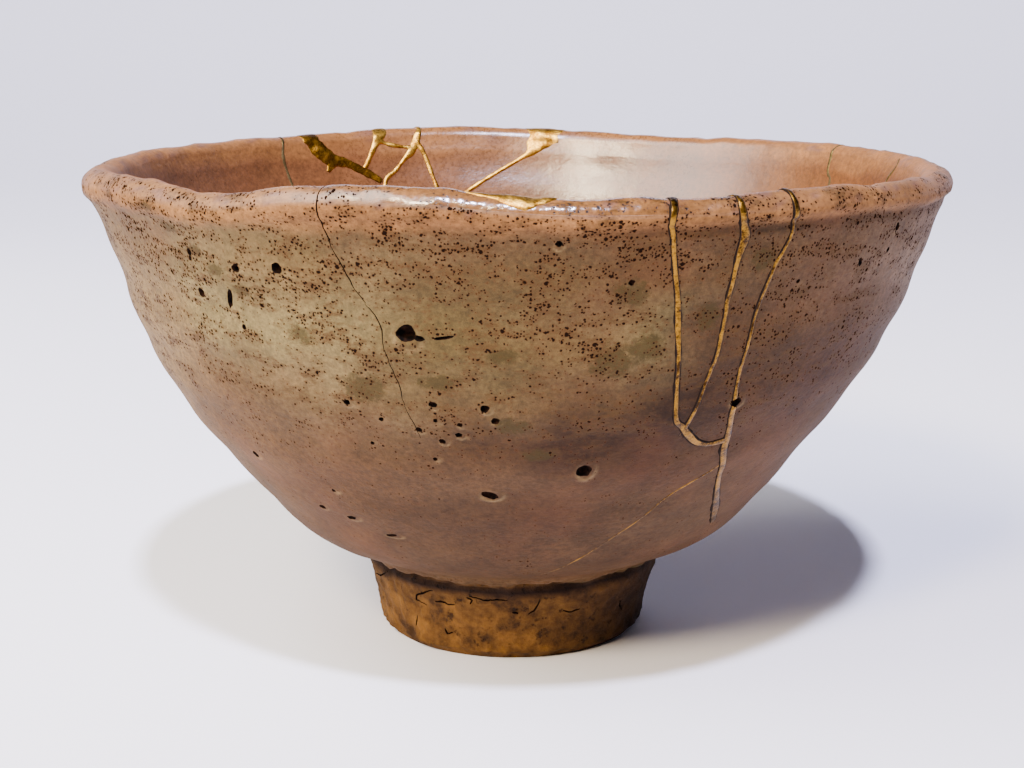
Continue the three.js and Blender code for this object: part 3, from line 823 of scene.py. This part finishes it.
def crack_cutter(name, line, half, depth):
    """A thin shallow wall along a jagged line of (angle, height) on the outside."""
    line = np.array(line, float)
    t = np.linspace(0, len(line) - 1, 5 * (len(line) - 1) + 1)
    a, h = (np.interp(t, np.arange(len(line)), line[:, i]) for i in (0, 1))
    jitter = waves(np.stack([t, h, a], 1), 1.3, 40, 2)
    rows = skin_distance(h + 0.12 * jitter, False)
    rows = np.where(h >= HEIGHT, crest, rows)
    a = a + 0.12 * jitter
    taper = 1.6 * np.sin(np.pi * (0.06 + 0.88 * t / t[-1])) ** 0.5 * (1 + 0.4 * jitter)
    taper = half * np.clip(taper, 0.25, 1.6)
    return wall_between(name, skin(a, rows, 0.5), skin(a, rows, -depth), taper, burnt_clay)


# %% [markdown]
# ## Cut the pits
# The foot's faces take the bare clay first. Most pits stand clear of each other and are cut together; the
# slit and the side hole that run into the big hole follow in passes of their own.

# %% Cut pits
bowl.data.materials.append(glaze)
bowl.data.materials.append(foot_clay)
face_centres = rows_of(bowl.data.polygons, "center") / MM
bare = face_centres[:, 2] < glaze_edge(face_centres) - 0.55
bare &= np.hypot(face_centres[:, 0], face_centres[:, 1]) < FOOT_TOP_RADIUS + 1
bowl.data.polygons.foreach_set("material_index", bare.astype(np.int32))
cut_away(bowl, join([pit_cutter(pit, i) for i, pit in enumerate(PITS)]))
cut_away(bowl, pit_cutter(HOLE_EDGE, 91))
cut_away(bowl, pit_cutter(SLIT, 92))
print("after the pits:", len(bowl.data.polygons), "faces")

# %% [markdown]
# ## The hairline and the cracks of the foot
# One crack never opened: a dark hair that runs down from the rim past the big hole and fades. The clay of
# the foot tore while it dried, in short crooked lines that are deeper. Both are listed as angle and
# height, and are cut as thin walls that follow the skin.

# %% Cut cracks
HAIRLINE = [
    (-21.5, 85.0), (-21.4, 82.8), (-21.3, 79.4), (-20.8, 76.5), (-19.7, 73.8), (-18.9, 71.5), (-17.7, 68.8),
    (-16.7, 67.2), (-16.1, 65.1), (-16.0, 62.4), (-15.3, 59.5), (-14.7, 56.6), (-14.4, 54.2), (-13.7, 51.9),
    (-13.0, 48.9),
]
FOOT_CRACKS = [
    [(-72, 10.4), (-65, 11.0), (-58.6, 12.4)],
    [(-31, 12.4), (-35.6, 11.5), (-39.8, 10.5), (-40.8, 9.4), (-36, 8.7)],
    [(-31, 10.2), (-27.8, 10.3), (-25.4, 9.9), (-22.8, 9.9)],
    [(-17.4, 11.8), (-15.2, 11.4), (-16, 10.7)],
    [(-16.4, 12.1), (-13.6, 12.0), (-9, 11.6), (-5.2, 11.8), (-1.6, 11.9)],
    [(-42, 6.2), (-42, 5.3), (-43, 4.2)], [(-28.2, 4.9), (-27.4, 3.9), (-25, 4.3)],
    [(10.4, 12.3), (9.8, 11), (8.4, 9.6), (6.2, 9.0)], [(0, 9.5), (2.4, 9.3)],
    [(20.2, 9.0), (24, 8.6), (27.4, 8.9)], [(48.8, 8.4), (50, 7.2), (52.2, 6.0)],
]
HAIR_HALF, HAIR_NARROWS_BY, HAIR_DEPTH = 0.075, 0.008, 0.45
FOOT_CRACK_HALF, FOOT_CRACK_DEPTH = 0.11, 0.9
for i in range(len(HAIRLINE) // 3):
    stretch_of_hair = HAIRLINE[3 * i : 3 * i + 4 + (i == 4)]
    half = HAIR_HALF - HAIR_NARROWS_BY * i
    cut_away(bowl, crack_cutter(f"hairline_{i}", stretch_of_hair, half, HAIR_DEPTH))
for i, line in enumerate(FOOT_CRACKS):
    cut_away(bowl, crack_cutter(f"foot_crack_{i}", line, FOOT_CRACK_HALF, FOOT_CRACK_DEPTH))
print("after the cracks:", len(bowl.data.polygons), "faces")

# %% [markdown]
# ## The break lines
# Each line of the mend is a list of angle, share of the height and half width in millimetres, as in the
# measured model. Those at the front are read on the outside, those at the back on the inside. A share
# over 1 stands for the crest of the rim, where the line goes over to the other face. The fill of the chip
# lies on the lip itself, so its shares are measured from the crest along the section, with a run of
# LIP_RUN millimetres for a whole share.

# %% Lines of the mend
FRONT_LINES = {
    "left_and_band": [
        (17.0, 1.05, 0.66), (16.3, 0.966, 0.58), (16.9, 0.933, 0.5), (17.7, 0.88, 0.48),
        (18.7, 0.827, 0.54), (19.3, 0.788, 0.62), (20.0, 0.732, 0.48), (21.0, 0.658, 0.48),
        (22.0, 0.607, 0.54), (23.5, 0.589, 0.65), (25.1, 0.569, 0.76), (27.1, 0.55, 0.66),
        (29.5, 0.541, 0.52), (32.3, 0.543, 0.7),
    ],
    "middle": [
        (24.7, 1.05, 0.4), (24.4, 0.98, 0.65), (25.0, 0.951, 0.67), (25.6, 0.929, 0.98),
        (25.3, 0.888, 0.54), (25.2, 0.829, 0.52), (25.5, 0.79, 0.45), (25.3, 0.712, 0.45),
        (24.7, 0.637, 0.43), (24.0, 0.587, 0.5),
    ],
    "right_and_stem": [
        (31.4, 1.05, 0.48), (31.5, 0.968, 0.6), (32.0, 0.925, 0.41), (30.4, 0.852, 0.45), (29.7, 0.73, 0.4),
        (30.2, 0.659, 0.43), (31.0, 0.607, 0.65), (31.8, 0.581, 0.59), (32.8, 0.55, 0.74),
        (33.3, 0.524, 0.82), (35.0, 0.488, 0.68), (36.8, 0.45, 0.57), (39.3, 0.41, 0.7),
        (42.2, 0.374, 0.87), (45.2, 0.34, 0.68), (47.4, 0.318, 0.4),
    ],
}
BACK_LINES = {
    "left_arm": [
        (-155.7, 1.05, 1.9), (-155.0, 0.981, 1.26), (-154.2, 0.964, 0.77), (-152.7, 0.93, 0.63),
        (-151.7, 0.911, 0.7),
    ],
    "right_arm_and_stem": [
        (-162.9, 1.05, 0.64), (-162.3, 0.98, 0.82), (-161.7, 0.96, 1.0), (-160.9, 0.943, 0.91),
        (-159.5, 0.926, 0.59), (-157.7, 0.902, 0.54), (-155.2, 0.871, 0.63), (-156.5, 0.8, 0.5),
        (-160.4, 0.7, 0.5), (-158.5, 0.55, 0.4),
    ],
    "cross": [
        (-155.3, 0.972, 0.55), (-157.8, 0.96, 0.54), (-161.6, 0.951, 0.5),
    ],
    "fork": [
        (-162.0, 0.968, 0.64), (-163.3, 0.933, 0.59), (-164.3, 0.889, 0.55), (-166.0, 0.8, 0.5),
        (-164.5, 0.75, 0.5), (-160.4, 0.7, 0.5),
    ],
    "long": [
        (174.8, 1.05, 4.4), (175.4, 0.983, 3.35), (176.4, 0.962, 2.2), (177.3, 0.943, 1.1),
        (178.7, 0.93, 0.6), (181.8, 0.904, 0.55), (187.3, 0.858, 0.53), (194, 0.8, 0.5),
    ],
}
PATCH_LINE = [
    (-142.2, 1.05, 2.6), (-142.8, 0.975, 2.2), (-144.3, 0.951, 2.0), (-146.1, 0.936, 1.6),
    (-148.5, 0.926, 1.07), (-150.8, 0.909, 1.0), (-153.0, 0.891, 1.05), (-154.6, 0.876, 0.75),
]
DULL_LINES = {
    "lacquer_seam_left": [
        (-137.0, 1.05, 0.39), (-136.3, 0.976, 0.39), (-135.8, 0.949, 0.5), (-136.0, 0.921, 0.42),
        (-136.4, 0.86, 0.35),
    ],
    "lacquer_seam_right": [
        (117.6, 1.05, 0.4), (117.5, 0.972, 0.4), (116.6, 0.936, 0.4), (115.5, 0.917, 0.38),
        (115.0, 0.83, 0.33),
    ],
    "lacquer_seam_side": [
        (98.4, 1.05, 0.37), (97.0, 0.984, 0.37), (97.8, 0.96, 0.37), (98.3, 0.93, 0.36), (98.2, 0.87, 0.3),
    ],
}
CHIP_LINE = [(-5.6, 1.0, 0.35), (-2.8, 0.993, 1.1), (0.3, 0.984, 2.0), (1.8, 0.986, 1.7), (4.1, 0.996, 0.45)]
LIP_RUN = 90


def on_skin(line, inside):
    """A line of (angle, share, half width) as rows of angle, distance along the section and half width."""
    rows = [(a, min(share, 1.0) * HEIGHT, w) for a, share, w in line]
    return np.array([(a, crest if h >= HEIGHT else skin_distance(h, inside), w) for a, h, w in rows])


def through_wall(line, inside):
    """The same line where it comes out on the other face."""
    moved = []
    for a, share, w in line:
        height = min(share, 1.0) * HEIGHT
        if share <= 1:
            height = min(other_face(height, inside)[0], HEIGHT)
        moved.append((a, height / HEIGHT if share <= 1 else share, w))
    return on_skin(moved, not inside)


# %% [markdown]
# ## Break the bowl
# A cut of a tenth of a millimetre is made along each line, right through the wall. The cuts meet under
# the gold, and what they close off falls apart into sherds. Each sherd takes the place of its part of the
# measured model: the one whose middle is nearest.

# %% Break into sherds
BREAK_HALF = 0.06


def smooth_rows(rows, step=0.9):
    spans = np.hypot(np.diff(np.radians(rows[:, 0])) * 70, np.diff(rows[:, 1]))
    counts = np.maximum(spans / step, 2).astype(int)
    fine = [(i + np.arange(n) / n) / len(spans) for i, n in enumerate(counts)]
    return smooth_curve(rows, np.append(np.concatenate(fine), 1.0))


def break_cutter(name, line, inside):
    straight_up = [(a, share * HEIGHT) for a, share, _ in line]
    heights = np.array([h for _, h in straight_up])
    if inside:
        heights = other_face(np.minimum(heights, neck_height), True) + np.maximum(heights - neck_height, 0)
    point, normal = wall_points(share_of_outline(heights))
    above = np.maximum(heights - neck_height, 0)
    point[:, 0] -= above * normal[:, 1] / normal[:, 0]
    point[:, 1] += above
    angles = np.array([a for a, _ in straight_up], float)
    rows = smooth_rows(np.column_stack([angles, heights, point, normal]))
    for end, beside in ((0, 1), (-1, -2)):
        run = rows[end] - rows[beside]
        rows[end] += run * (1.6 / math.hypot(math.radians(run[0]) * 70, run[1]))
    outer = rows[:, 2:4] + rows[:, 4:6] * 3
    inner = rows[:, 2:4] - rows[:, 4:6] * (WALL_AT_FOOT + 1)
    top = place(outer[:, 0], outer[:, 1], rows[:, 0])
    bottom = place(inner[:, 0], inner[:, 1], rows[:, 0])
    return wall_between(name, top, bottom, BREAK_HALF, broken_clay)


for group, inside in ((FRONT_LINES, False), (BACK_LINES, True), ({"patch": PATCH_LINE}, True)):
    for name, line in group.items():
        cut_away(bowl, break_cutter("break_" + name, line, inside))
select_only(bowl)
bpy.ops.mesh.separate(type="LOOSE")
loose = sorted(bpy.context.selected_objects, key=lambda obj: -len(obj.data.vertices))
SHERDS = [
    "sherd_front_left", "sherd_front_right", "sherd_back_far_left", "sherd_back_rim", "sherd_back_left",
    "sherd_back_middle", "sherd_back_right",
]
for piece in loose:
    low, high = corners_of(piece).min(0) / MM, corners_of(piece).max(0) / MM
    print("loose:", len(piece.data.vertices), "points", np.round(low, 1), np.round(high, 1))
bowl = loose.pop(0)
bowl.name = "stoneware_bowl"
ceramics = {"bowl_body": bowl}
for node in SHERDS:
    box_low, box_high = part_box(node)
    middle = np.array((box_low + box_high) / 2)
    gaps = [np.linalg.norm((corners_of(o).min(0) + corners_of(o).max(0)) / 2 - middle) for o in loose]
    best = loose[int(np.argmin(gaps))]
    loose.remove(best)
    best.name = node.replace("sherd", "stoneware_sherd")
    ceramics[node] = best
for crumb in loose:
    bpy.data.objects.remove(crumb, do_unlink=True)
print({node: len(piece.data.polygons) for node, piece in ceramics.items()})

# %% [markdown]
# ## Lay the gold
# A line of gold is a strip with a domed section, laid along its line point by point on the skin: down the
# inside, over the lip and down the outside. Where lines meet, the lacquer flowed together, so the strips
# of one mend are joined and remeshed into one skin, and then smoothed a little.

# %% Gold lines
GOLD_RISE = 0.3
PATCH_RISE = 0.25
DULL_RISE = 0.16
THREAD_RISE = 0.12
FRONT_WIDENING = 1.13
FINE_VOXEL = 0.16
BACK_VOXEL = 0.2
CHIP_VOXEL = 0.14


def strip(rows, rise, name, material, wobble=0.16):
    """A domed strip along rows of angle, distance and half width."""
    rows = smooth_rows(rows, 0.45)
    middle = skin(rows[:, 0], rows[:, 1], 0, rough=False)
    lumps = waves(middle, 1.7, 20, 3) * wobble
    half = np.maximum(rows[:, 2] * (1 + lumps * 1.5), 0.08)
    radius = np.interp(rows[:, 1], skin_steps, skin_rows[:, 0])
    run = np.column_stack([np.gradient(np.radians(rows[:, 0])) * radius, np.gradient(rows[:, 1])])
    run /= np.linalg.norm(run, axis=1)[:, None]
    spread = np.linspace(-1, 1, 11)
    shape = np.sqrt(np.maximum(1 - spread**2, 0)) ** 1.2
    heights = np.minimum(rise, half * 0.62)[:, None] * shape[None, :] * (1 + lumps[:, None]) - 0.05
    low = np.array([1, 0.33, -0.33, -1])
    offsets = np.concatenate([spread, low * 0.92])
    lifts = np.column_stack([heights, np.full((len(rows), 4), -0.4)])
    side = half[:, None] * offsets[None, :]
    angles = rows[:, 0][:, None] + np.degrees(-run[:, 1][:, None] * side / radius[:, None])
    distances = rows[:, 1][:, None] + run[:, 0][:, None] * side
    rings = skin(angles.ravel(), distances.ravel(), lifts.ravel())
    return closed_tube(name, rings.reshape(len(rows), len(offsets), 3), material)


def both_faces(line, inside):
    """A line on the face that it is read on and, from the rim, over the lip and down the other face."""
    near, far = on_skin(line, inside), through_wall(line, inside)
    if line[0][1] < 1:
        return [near, far]
    return [np.vstack([far[:0:-1], near])]


def flow_together(strips, name, voxel):
    joined = join(strips)
    joined.name = name
    apply_modifier(joined, "REMESH", mode="VOXEL", voxel_size=voxel * MM)
    apply_modifier(joined, "SMOOTH", factor=0.5, iterations=3)
    return joined


def strips_of(lines, inside, rise, material, widen=1.0):
    made = []
    for name, line in lines.items():
        for rows in both_faces(line, inside):
            made.append(strip(rows * (1, 1, widen), rise, name, material))
    return made


front_strips = strips_of(FRONT_LINES, False, GOLD_RISE, gold, FRONT_WIDENING)
seam_front = flow_together(front_strips, "gold_lines_front", FINE_VOXEL)
GOLD_PIT = PITS[9]
cut_away(seam_front, pit_cutter(GOLD_PIT, 9))
print("front gold:", len(seam_front.data.polygons), "faces")
back_strips = strips_of(BACK_LINES, True, GOLD_RISE, bright_gold)
seam_back = flow_together(back_strips, "gold_lines_back", BACK_VOXEL)
print("back gold:", len(seam_back.data.polygons), "faces")
patch_strips = strips_of({"patch": PATCH_LINE}, True, PATCH_RISE, dark_gold)
PATCH_SPUR = [(-145.9, 0.937, 1.5), (-145.0, 0.921, 1.06), (-144.3, 0.909, 0.5)]
patch_strips.append(strip(on_skin(PATCH_SPUR, True), PATCH_RISE, "spur", dark_gold))
patch = flow_together(patch_strips, "gold_fill_back", BACK_VOXEL)
chip_rows = np.array([(a, crest - (1.0 - s) * LIP_RUN, w) for a, s, w in CHIP_LINE])
chip = flow_together([strip(chip_rows, GOLD_RISE, "chip", bright_gold)], "gold_fill_lip", CHIP_VOXEL)
gold_pieces = {"gold_seam_front": seam_front, "gold_seam_back": seam_back, "gold_patch_back": patch}
gold_pieces["gold_chip_front"] = chip
for node, line in DULL_LINES.items():
    strips = strips_of({node: line}, True, DULL_RISE, dull_lacquer)
    gold_pieces[node] = flow_together(strips, node.replace("lacquer_seam", "worn_and_shaded_seam"), FINE_VOXEL)
PALE_LINE = [
    (34.4, 41.4, 0.12), (33.8, 40.8, 0.17), (30.2, 38.3, 0.2), (26.9, 35.6, 0.17), (23.9, 32.2, 0.14),
    (18.1, 26.7, 0.15), (11.0, 22.1, 0.13), (7.0, 20.4, 0.08),
]
pale_rows = np.array([(a, skin_distance(h, False), w) for a, h, w in PALE_LINE])
pale_line = strip(pale_rows, THREAD_RISE, "gold_thread_front", gold, 0.25)
print({node: len(piece.data.polygons) for node, piece in gold_pieces.items()})

# %% [markdown]
# ## How far each point lies from its gold line
# The gold's dark rim needs to know how far a point is from the middle of its line, as a share of the half
# width.


# %% Attribute across
def store(obj, name, kind, field, values):
    """Stores a value or a colour for each point of a mesh, as an attribute."""
    obj.data.attributes.new(name, kind, "POINT").data.foreach_set(field, np.ravel(values))


def mark_across(obj, lines):
    """Stores for each point its distance from the nearest line, as a share of that line's half width."""
    places = corners_of(obj) / MM
    best = np.full(len(places), 9.0)
    for rows in lines:
        fine = smooth_rows(rows, 0.3)
        track = skin(fine[:, 0], fine[:, 1], 0.0)
        for start in range(0, len(places), 20000):
            part = places[start : start + 20000]
            gaps = np.linalg.norm(part[:, None, :] - track[None, :, :], axis=2) / fine[:, 2]
            best[start : start + 20000] = np.minimum(best[start : start + 20000], gaps.min(1))
    store(obj, "across", "FLOAT", "value", best)


def tracks(lines, inside):
    return [rows for line in lines.values() for rows in both_faces(line, inside)]


mark_across(seam_front, tracks(FRONT_LINES, False))
mark_across(seam_back, tracks(BACK_LINES, True))
for node, line in DULL_LINES.items():
    mark_across(gold_pieces[node], tracks({node: line}, True))
print("marked")

# %% [markdown]
# ## Broad tones of the glaze
# The kiln coloured the bowl unevenly: grey-green where the glaze is thick at the upper left, orange on
# the lip, rose-brown low down and to the right. Low down and to the right the patches also hold painted
# shade, darker than the glaze alone because less light reaches there. Each is a soft patch with an angle,
# a height and a spread, and the list is all that the glaze's attributes need. The pale rings on the lower
# rims of the pits are a painted highlight, and the dark band in the groove under the lip, the dark band
# under the glaze edge on the foot and the foot's right side are painted shade.

# %% Tones
OUTSIDE_BASE = "#503a24"
INSIDE_BASE = "#663c1e"
# The darker patches low down and to the right are partly the glaze's rose-brown and partly painted shade.
OUTSIDE_TONES = [
    (-35, 66, 26, 13, "#766740", 0.9), (-66, 58, 16, 20, "#80663f", 0.8), (-5, 66, 13, 9, "#4e4020", 0.75),
    (14, 66, 9, 9, "#635834", 0.6), (16, 75, 10, 5, "#402b12", 0.7), (8, 48, 24, 7, "#2c1809", 0.9),
    (20, 52, 13, 9, "#201206", 0.9), (0, 32, 40, 8, "#342010", 0.85), (-30, 38, 20, 9, "#442c14", 0.8),
    (-50, 45, 14, 12, "#5a3d20", 0.7), (45, 56, 18, 14, "#3c271c", 0.85), (40, 72, 12, 8, "#563f28", 0.6),
    (68, 72, 14, 10, "#7a6350", 0.7), (0, 22, 120, 5, "#3a2414", 0.8),
    (30, 64, 8, 9, "#352312", 0.65), (-30, 75, 8, 5, "#54401f", 0.5), (-3, 74, 9, 4, "#45331a", 0.6),
]
LIP_TONE = ("#8c5d32", 0.65)
PIT_RIM_HIGHLIGHT = "#a58a5c"
WORN_TONE = ("#5d4340", 0.6)
INSIDE_TONES = [
    (-110, 76, 25, 14, "#63422c", 0.8), (-150, 78, 22, 10, "#6a4428", 0.5), (180, 74, 22, 12, "#775030", 0.6),
    (130, 76, 30, 14, "#683e16", 0.8),
]
SMUDGES = [
    (11.4, 61.9, 4.6, 3.4), (15.5, 63.5, 4.0, 2.6), (-1.9, 62.9, 2.9, 1.5), (-19.9, 56.9, 4.6, 3.2),
    (-27.1, 64.7, 2.6, 2.0), (-0.7, 51.7, 3.8, 1.8), (-10, 58.5, 4.0, 1.6), (13, 72, 3.5, 2.5),
    (23, 68, 2.5, 3.0), (29, 76, 3.0, 2.4), (3, 46.5, 3.0, 1.3), (-47.5, 82, 2.4, 1.0),
    (-44.5, 79.2, 2.6, 1.1), (-41, 76, 2.6, 1.2), (-38, 73.5, 2.6, 1.3), (-34.8, 70.6, 2.2, 1.3),
]


def lin(hex_colour):
    return np.array(linear(hex_colour)[:3])


def soft_patch(angle, height, patch_angle, patch_height, angle_spread, height_spread):
    across = turn_between(angle, patch_angle) / angle_spread
    return np.exp(-(across**2) - ((height - patch_height) / height_spread) ** 2)


def tone_attributes(obj):
    places = corners_of(obj) / MM
    angle = np.degrees(np.arctan2(places[:, 0], -places[:, 1]))
    height = places[:, 2]
    radius = np.hypot(places[:, 0], places[:, 1])
    inside = (height > floor_height - 1) & (radius < np.interp(height, outline[:, 1], outline[:, 0]) - 2.6)
    inside |= (height > HEIGHT - 4) & (radius < RIM_RADIUS - LIP_BEAD_RADIUS)
    wander = waves(places, 18, 31, 3)
    angle_w = angle + 9 * wander
    height_w = height + 3.5 * waves(places, 14, 32, 3)
    outer = np.tile(lin(OUTSIDE_BASE), (len(places), 1))
    inner = np.tile(lin(INSIDE_BASE), (len(places), 1))
    for tones, colour in ((OUTSIDE_TONES, outer), (INSIDE_TONES, inner)):
        for *patch, hex_colour, strength in tones:
            w = strength * soft_patch(angle_w, height_w, *patch)
            colour += (lin(hex_colour) - colour) * w[:, None]
    ledge = lip_ledge(places, height, angle) * ~inside
    lip_edge = HEIGHT - 4.2 + 1.2 * waves(places, 8, 34, 3)
    lip = LIP_TONE[1] * smooth_step(height - lip_edge, -1.2, 1.4)
    tone = np.where(inside[:, None], inner, outer)
    tone += (lin(LIP_TONE[0]) - tone) * lip[:, None]
    # Painted shade: the glaze is darkened in the groove under the lip.
    tone *= 1 - 0.6 * ledge[:, None]
    # Painted highlight: each pit gets a pale ring, strongest on its lower rim, where the light catches it.
    for pit_angle, pit_height, width, tall, _, _ in PITS:
        across, up = from_mark(angle, height, radius, pit_angle, pit_height, width / 2, tall / 2)
        rim_highlight = pit_rim(across, up, 1.5) * ~inside
        rim_highlight *= 0.15 - 0.13 * np.clip(up, -1, 1)
        tone += (lin(PIT_RIM_HIGHLIGHT) - tone) * rim_highlight[:, None]
    worn = smooth_step(waves(places, 2.6, 35, 3), 0.28, 0.5) * smooth_step(height, HEIGHT - 2.5, HEIGHT - 1)
    tone += (lin(WORN_TONE[0]) - tone) * WORN_TONE[1] * worn[:, None]
    speckles = 0.26 + 0.38 * smooth_step(height_w, 36, 64) + 0.2 * smooth_step(height_w, 66, 80)
    speckles += 0.3 * soft_patch(angle_w, height_w, 14, 78, 22, 4)
    speckles += 0.2 * soft_patch(angle_w, height_w, -40, 72, 22, 9)
    speckles += 0.12 * waves(places, 7, 33, 2)
    speckles = np.where(inside, 0.12 + 0.1 * wander, speckles)
    smudges_and_foot_shade = np.zeros(len(places))
    for smudge in SMUDGES:
        across, up = from_mark(angle, height, radius, *smudge)
        smudges_and_foot_shade = np.maximum(smudges_and_foot_shade, np.exp(-(across**2) - up**2) * ~inside)
    foot = (height < FOOT_HEIGHT + 1) & ~inside
    # Painted shade on the foot: a dark band under the glaze edge, and the whole right side of the foot.
    edge = np.exp(-(((height - FOOT_HEIGHT + 1.6) / 1.1) ** 2)) * foot
    smudges_and_foot_shade = np.maximum(smudges_and_foot_shade, edge)
    smudges_and_foot_shade = np.maximum(smudges_and_foot_shade, 0.85 * foot * smooth_step(turn_between(angle, 0), -5, 62))
    at_back = smooth_step(abs(turn_between(angle, 0)), 112, 150)
    gloss = 0.08 + 0.12 * inside + 0.62 * inside * at_back
    below_crest = HEIGHT * (1 + rim_rise(angle)) - height
    in_front = np.exp(-((turn_between(angle, 2) / 26) ** 4))
    lip_gloss = smooth_step(below_crest, 2.5, 1.9) * (0.3 + 0.7 * in_front)
    gloss = np.maximum(gloss, lip_gloss * (1 - 0.5 * inside))
    mottle = (0.25 + 0.75 * smooth_step(height_w, 40, 58)) * ~inside + 0.15 * inside
    store(obj, "tone", "FLOAT_COLOR", "color", np.column_stack([tone, np.ones(len(tone))]))
    for name, values in zip(MARKS, (speckles, smudges_and_foot_shade, gloss, mottle)):
        store(obj, name, "FLOAT", "value", np.clip(values, 0, 1))


for piece in ceramics.values():
    tone_attributes(piece)
print("tones stored")

# %% [markdown]
# ## Smooth shading
# Faces that meet at less than 42 degrees are shaded as one surface, and the edges of pits and breaks stay
# crisp.

# %% Shade smooth
SMOOTH_BELOW = math.radians(42)
for piece in [*ceramics.values(), *gold_pieces.values(), pale_line]:
    select_only(piece)
    bpy.ops.object.shade_smooth_by_angle(angle=SMOOTH_BELOW)
print("shaded")

# %% [markdown]
# ## Hand the pieces to the frame
# Each piece rides on the one body of the bowl and takes the place of its part of the measured model.

# %% Ride and replace
for node, piece in ceramics.items():
    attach(piece, "root")
    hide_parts(node)
for node, piece in gold_pieces.items():
    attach(piece, "root")
    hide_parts(node)
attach(pale_line, "root")
print(len(ceramics) + len(gold_pieces) + 1, "pieces")

# %% [markdown]
# ## Paper sweep and light
# The bowl stands on pale lilac-white paper that rises behind it in a soft curve. A big window on the left
# gives the soft light. A small lamp far above the front throws the round shadow with its crisp edge, and
# it makes the white glints on the lip. A second, small window is there for the warm highlight on the
# glaze inside. The room is dark.

# %% Stage
sweep_material, _, shader, _ = start_material("pale_paper")
fill(shader, {"Base Color": linear("#f0eef6"), "Roughness": 0.8})
SWEEP_PROFILE = [
    (-0.9, 0), (0.35, 0), (0.7, 0.0), (0.95, 0.02), (1.15, 0.09), (1.3, 0.22), (1.38, 0.45), (1.4, 0.9),
]
sweep_rows = smooth_curve(SWEEP_PROFILE, np.linspace(0, 1, 90))
SWEEP_HALF = 1.6
sweep_places = [(x, y, z) for y, z in sweep_rows for x in np.linspace(-SWEEP_HALF, SWEEP_HALF, 9)]
corner_steps = np.array([0, 1, 10, 9])
sweep_faces = [tuple(9 * i + k + corner_steps) for i in range(len(sweep_rows) - 1) for k in range(8)]
sweep = mesh_from("paper_sweep", sweep_places, sweep_faces, sweep_material)
select_only(sweep)
bpy.ops.object.shade_smooth()


def area_light(name, location, target, size, power, colour):
    data = bpy.data.lights.new(name, "AREA")
    data.shape = "RECTANGLE"
    data.size, data.size_y = size
    data.energy = power
    data.color = linear(colour)[:3]
    light = bpy.data.objects.new(name, data)
    light.location = location
    direction = Vector(target) - Vector(location)
    light.rotation_euler = direction.to_track_quat("-Z", "Y").to_euler()
    bpy.context.scene.collection.objects.link(light)
    return light


area_light("left_window", (-0.58, -0.18, 0.58), (0, 0, 0.04), (0.7, 0.8), 17, "#fffdf8")
area_light("front_lamp", (0.06, -1.42, 2.66), (0, 0, 0.04), (0.17, 0.17), 225, "#dadeff")
area_light("far_window", (-0.44, -0.87, 0.85), (0, 0, 0.08), (0.22, 0.26), 23, "#ffe9c4")
world = bpy.data.worlds.new("grey_room")
world.use_nodes = True
fill(world.node_tree.nodes["Background"], {"Color": linear("#c4c6cf"), "Strength": 0.06})
bpy.context.scene.world = world
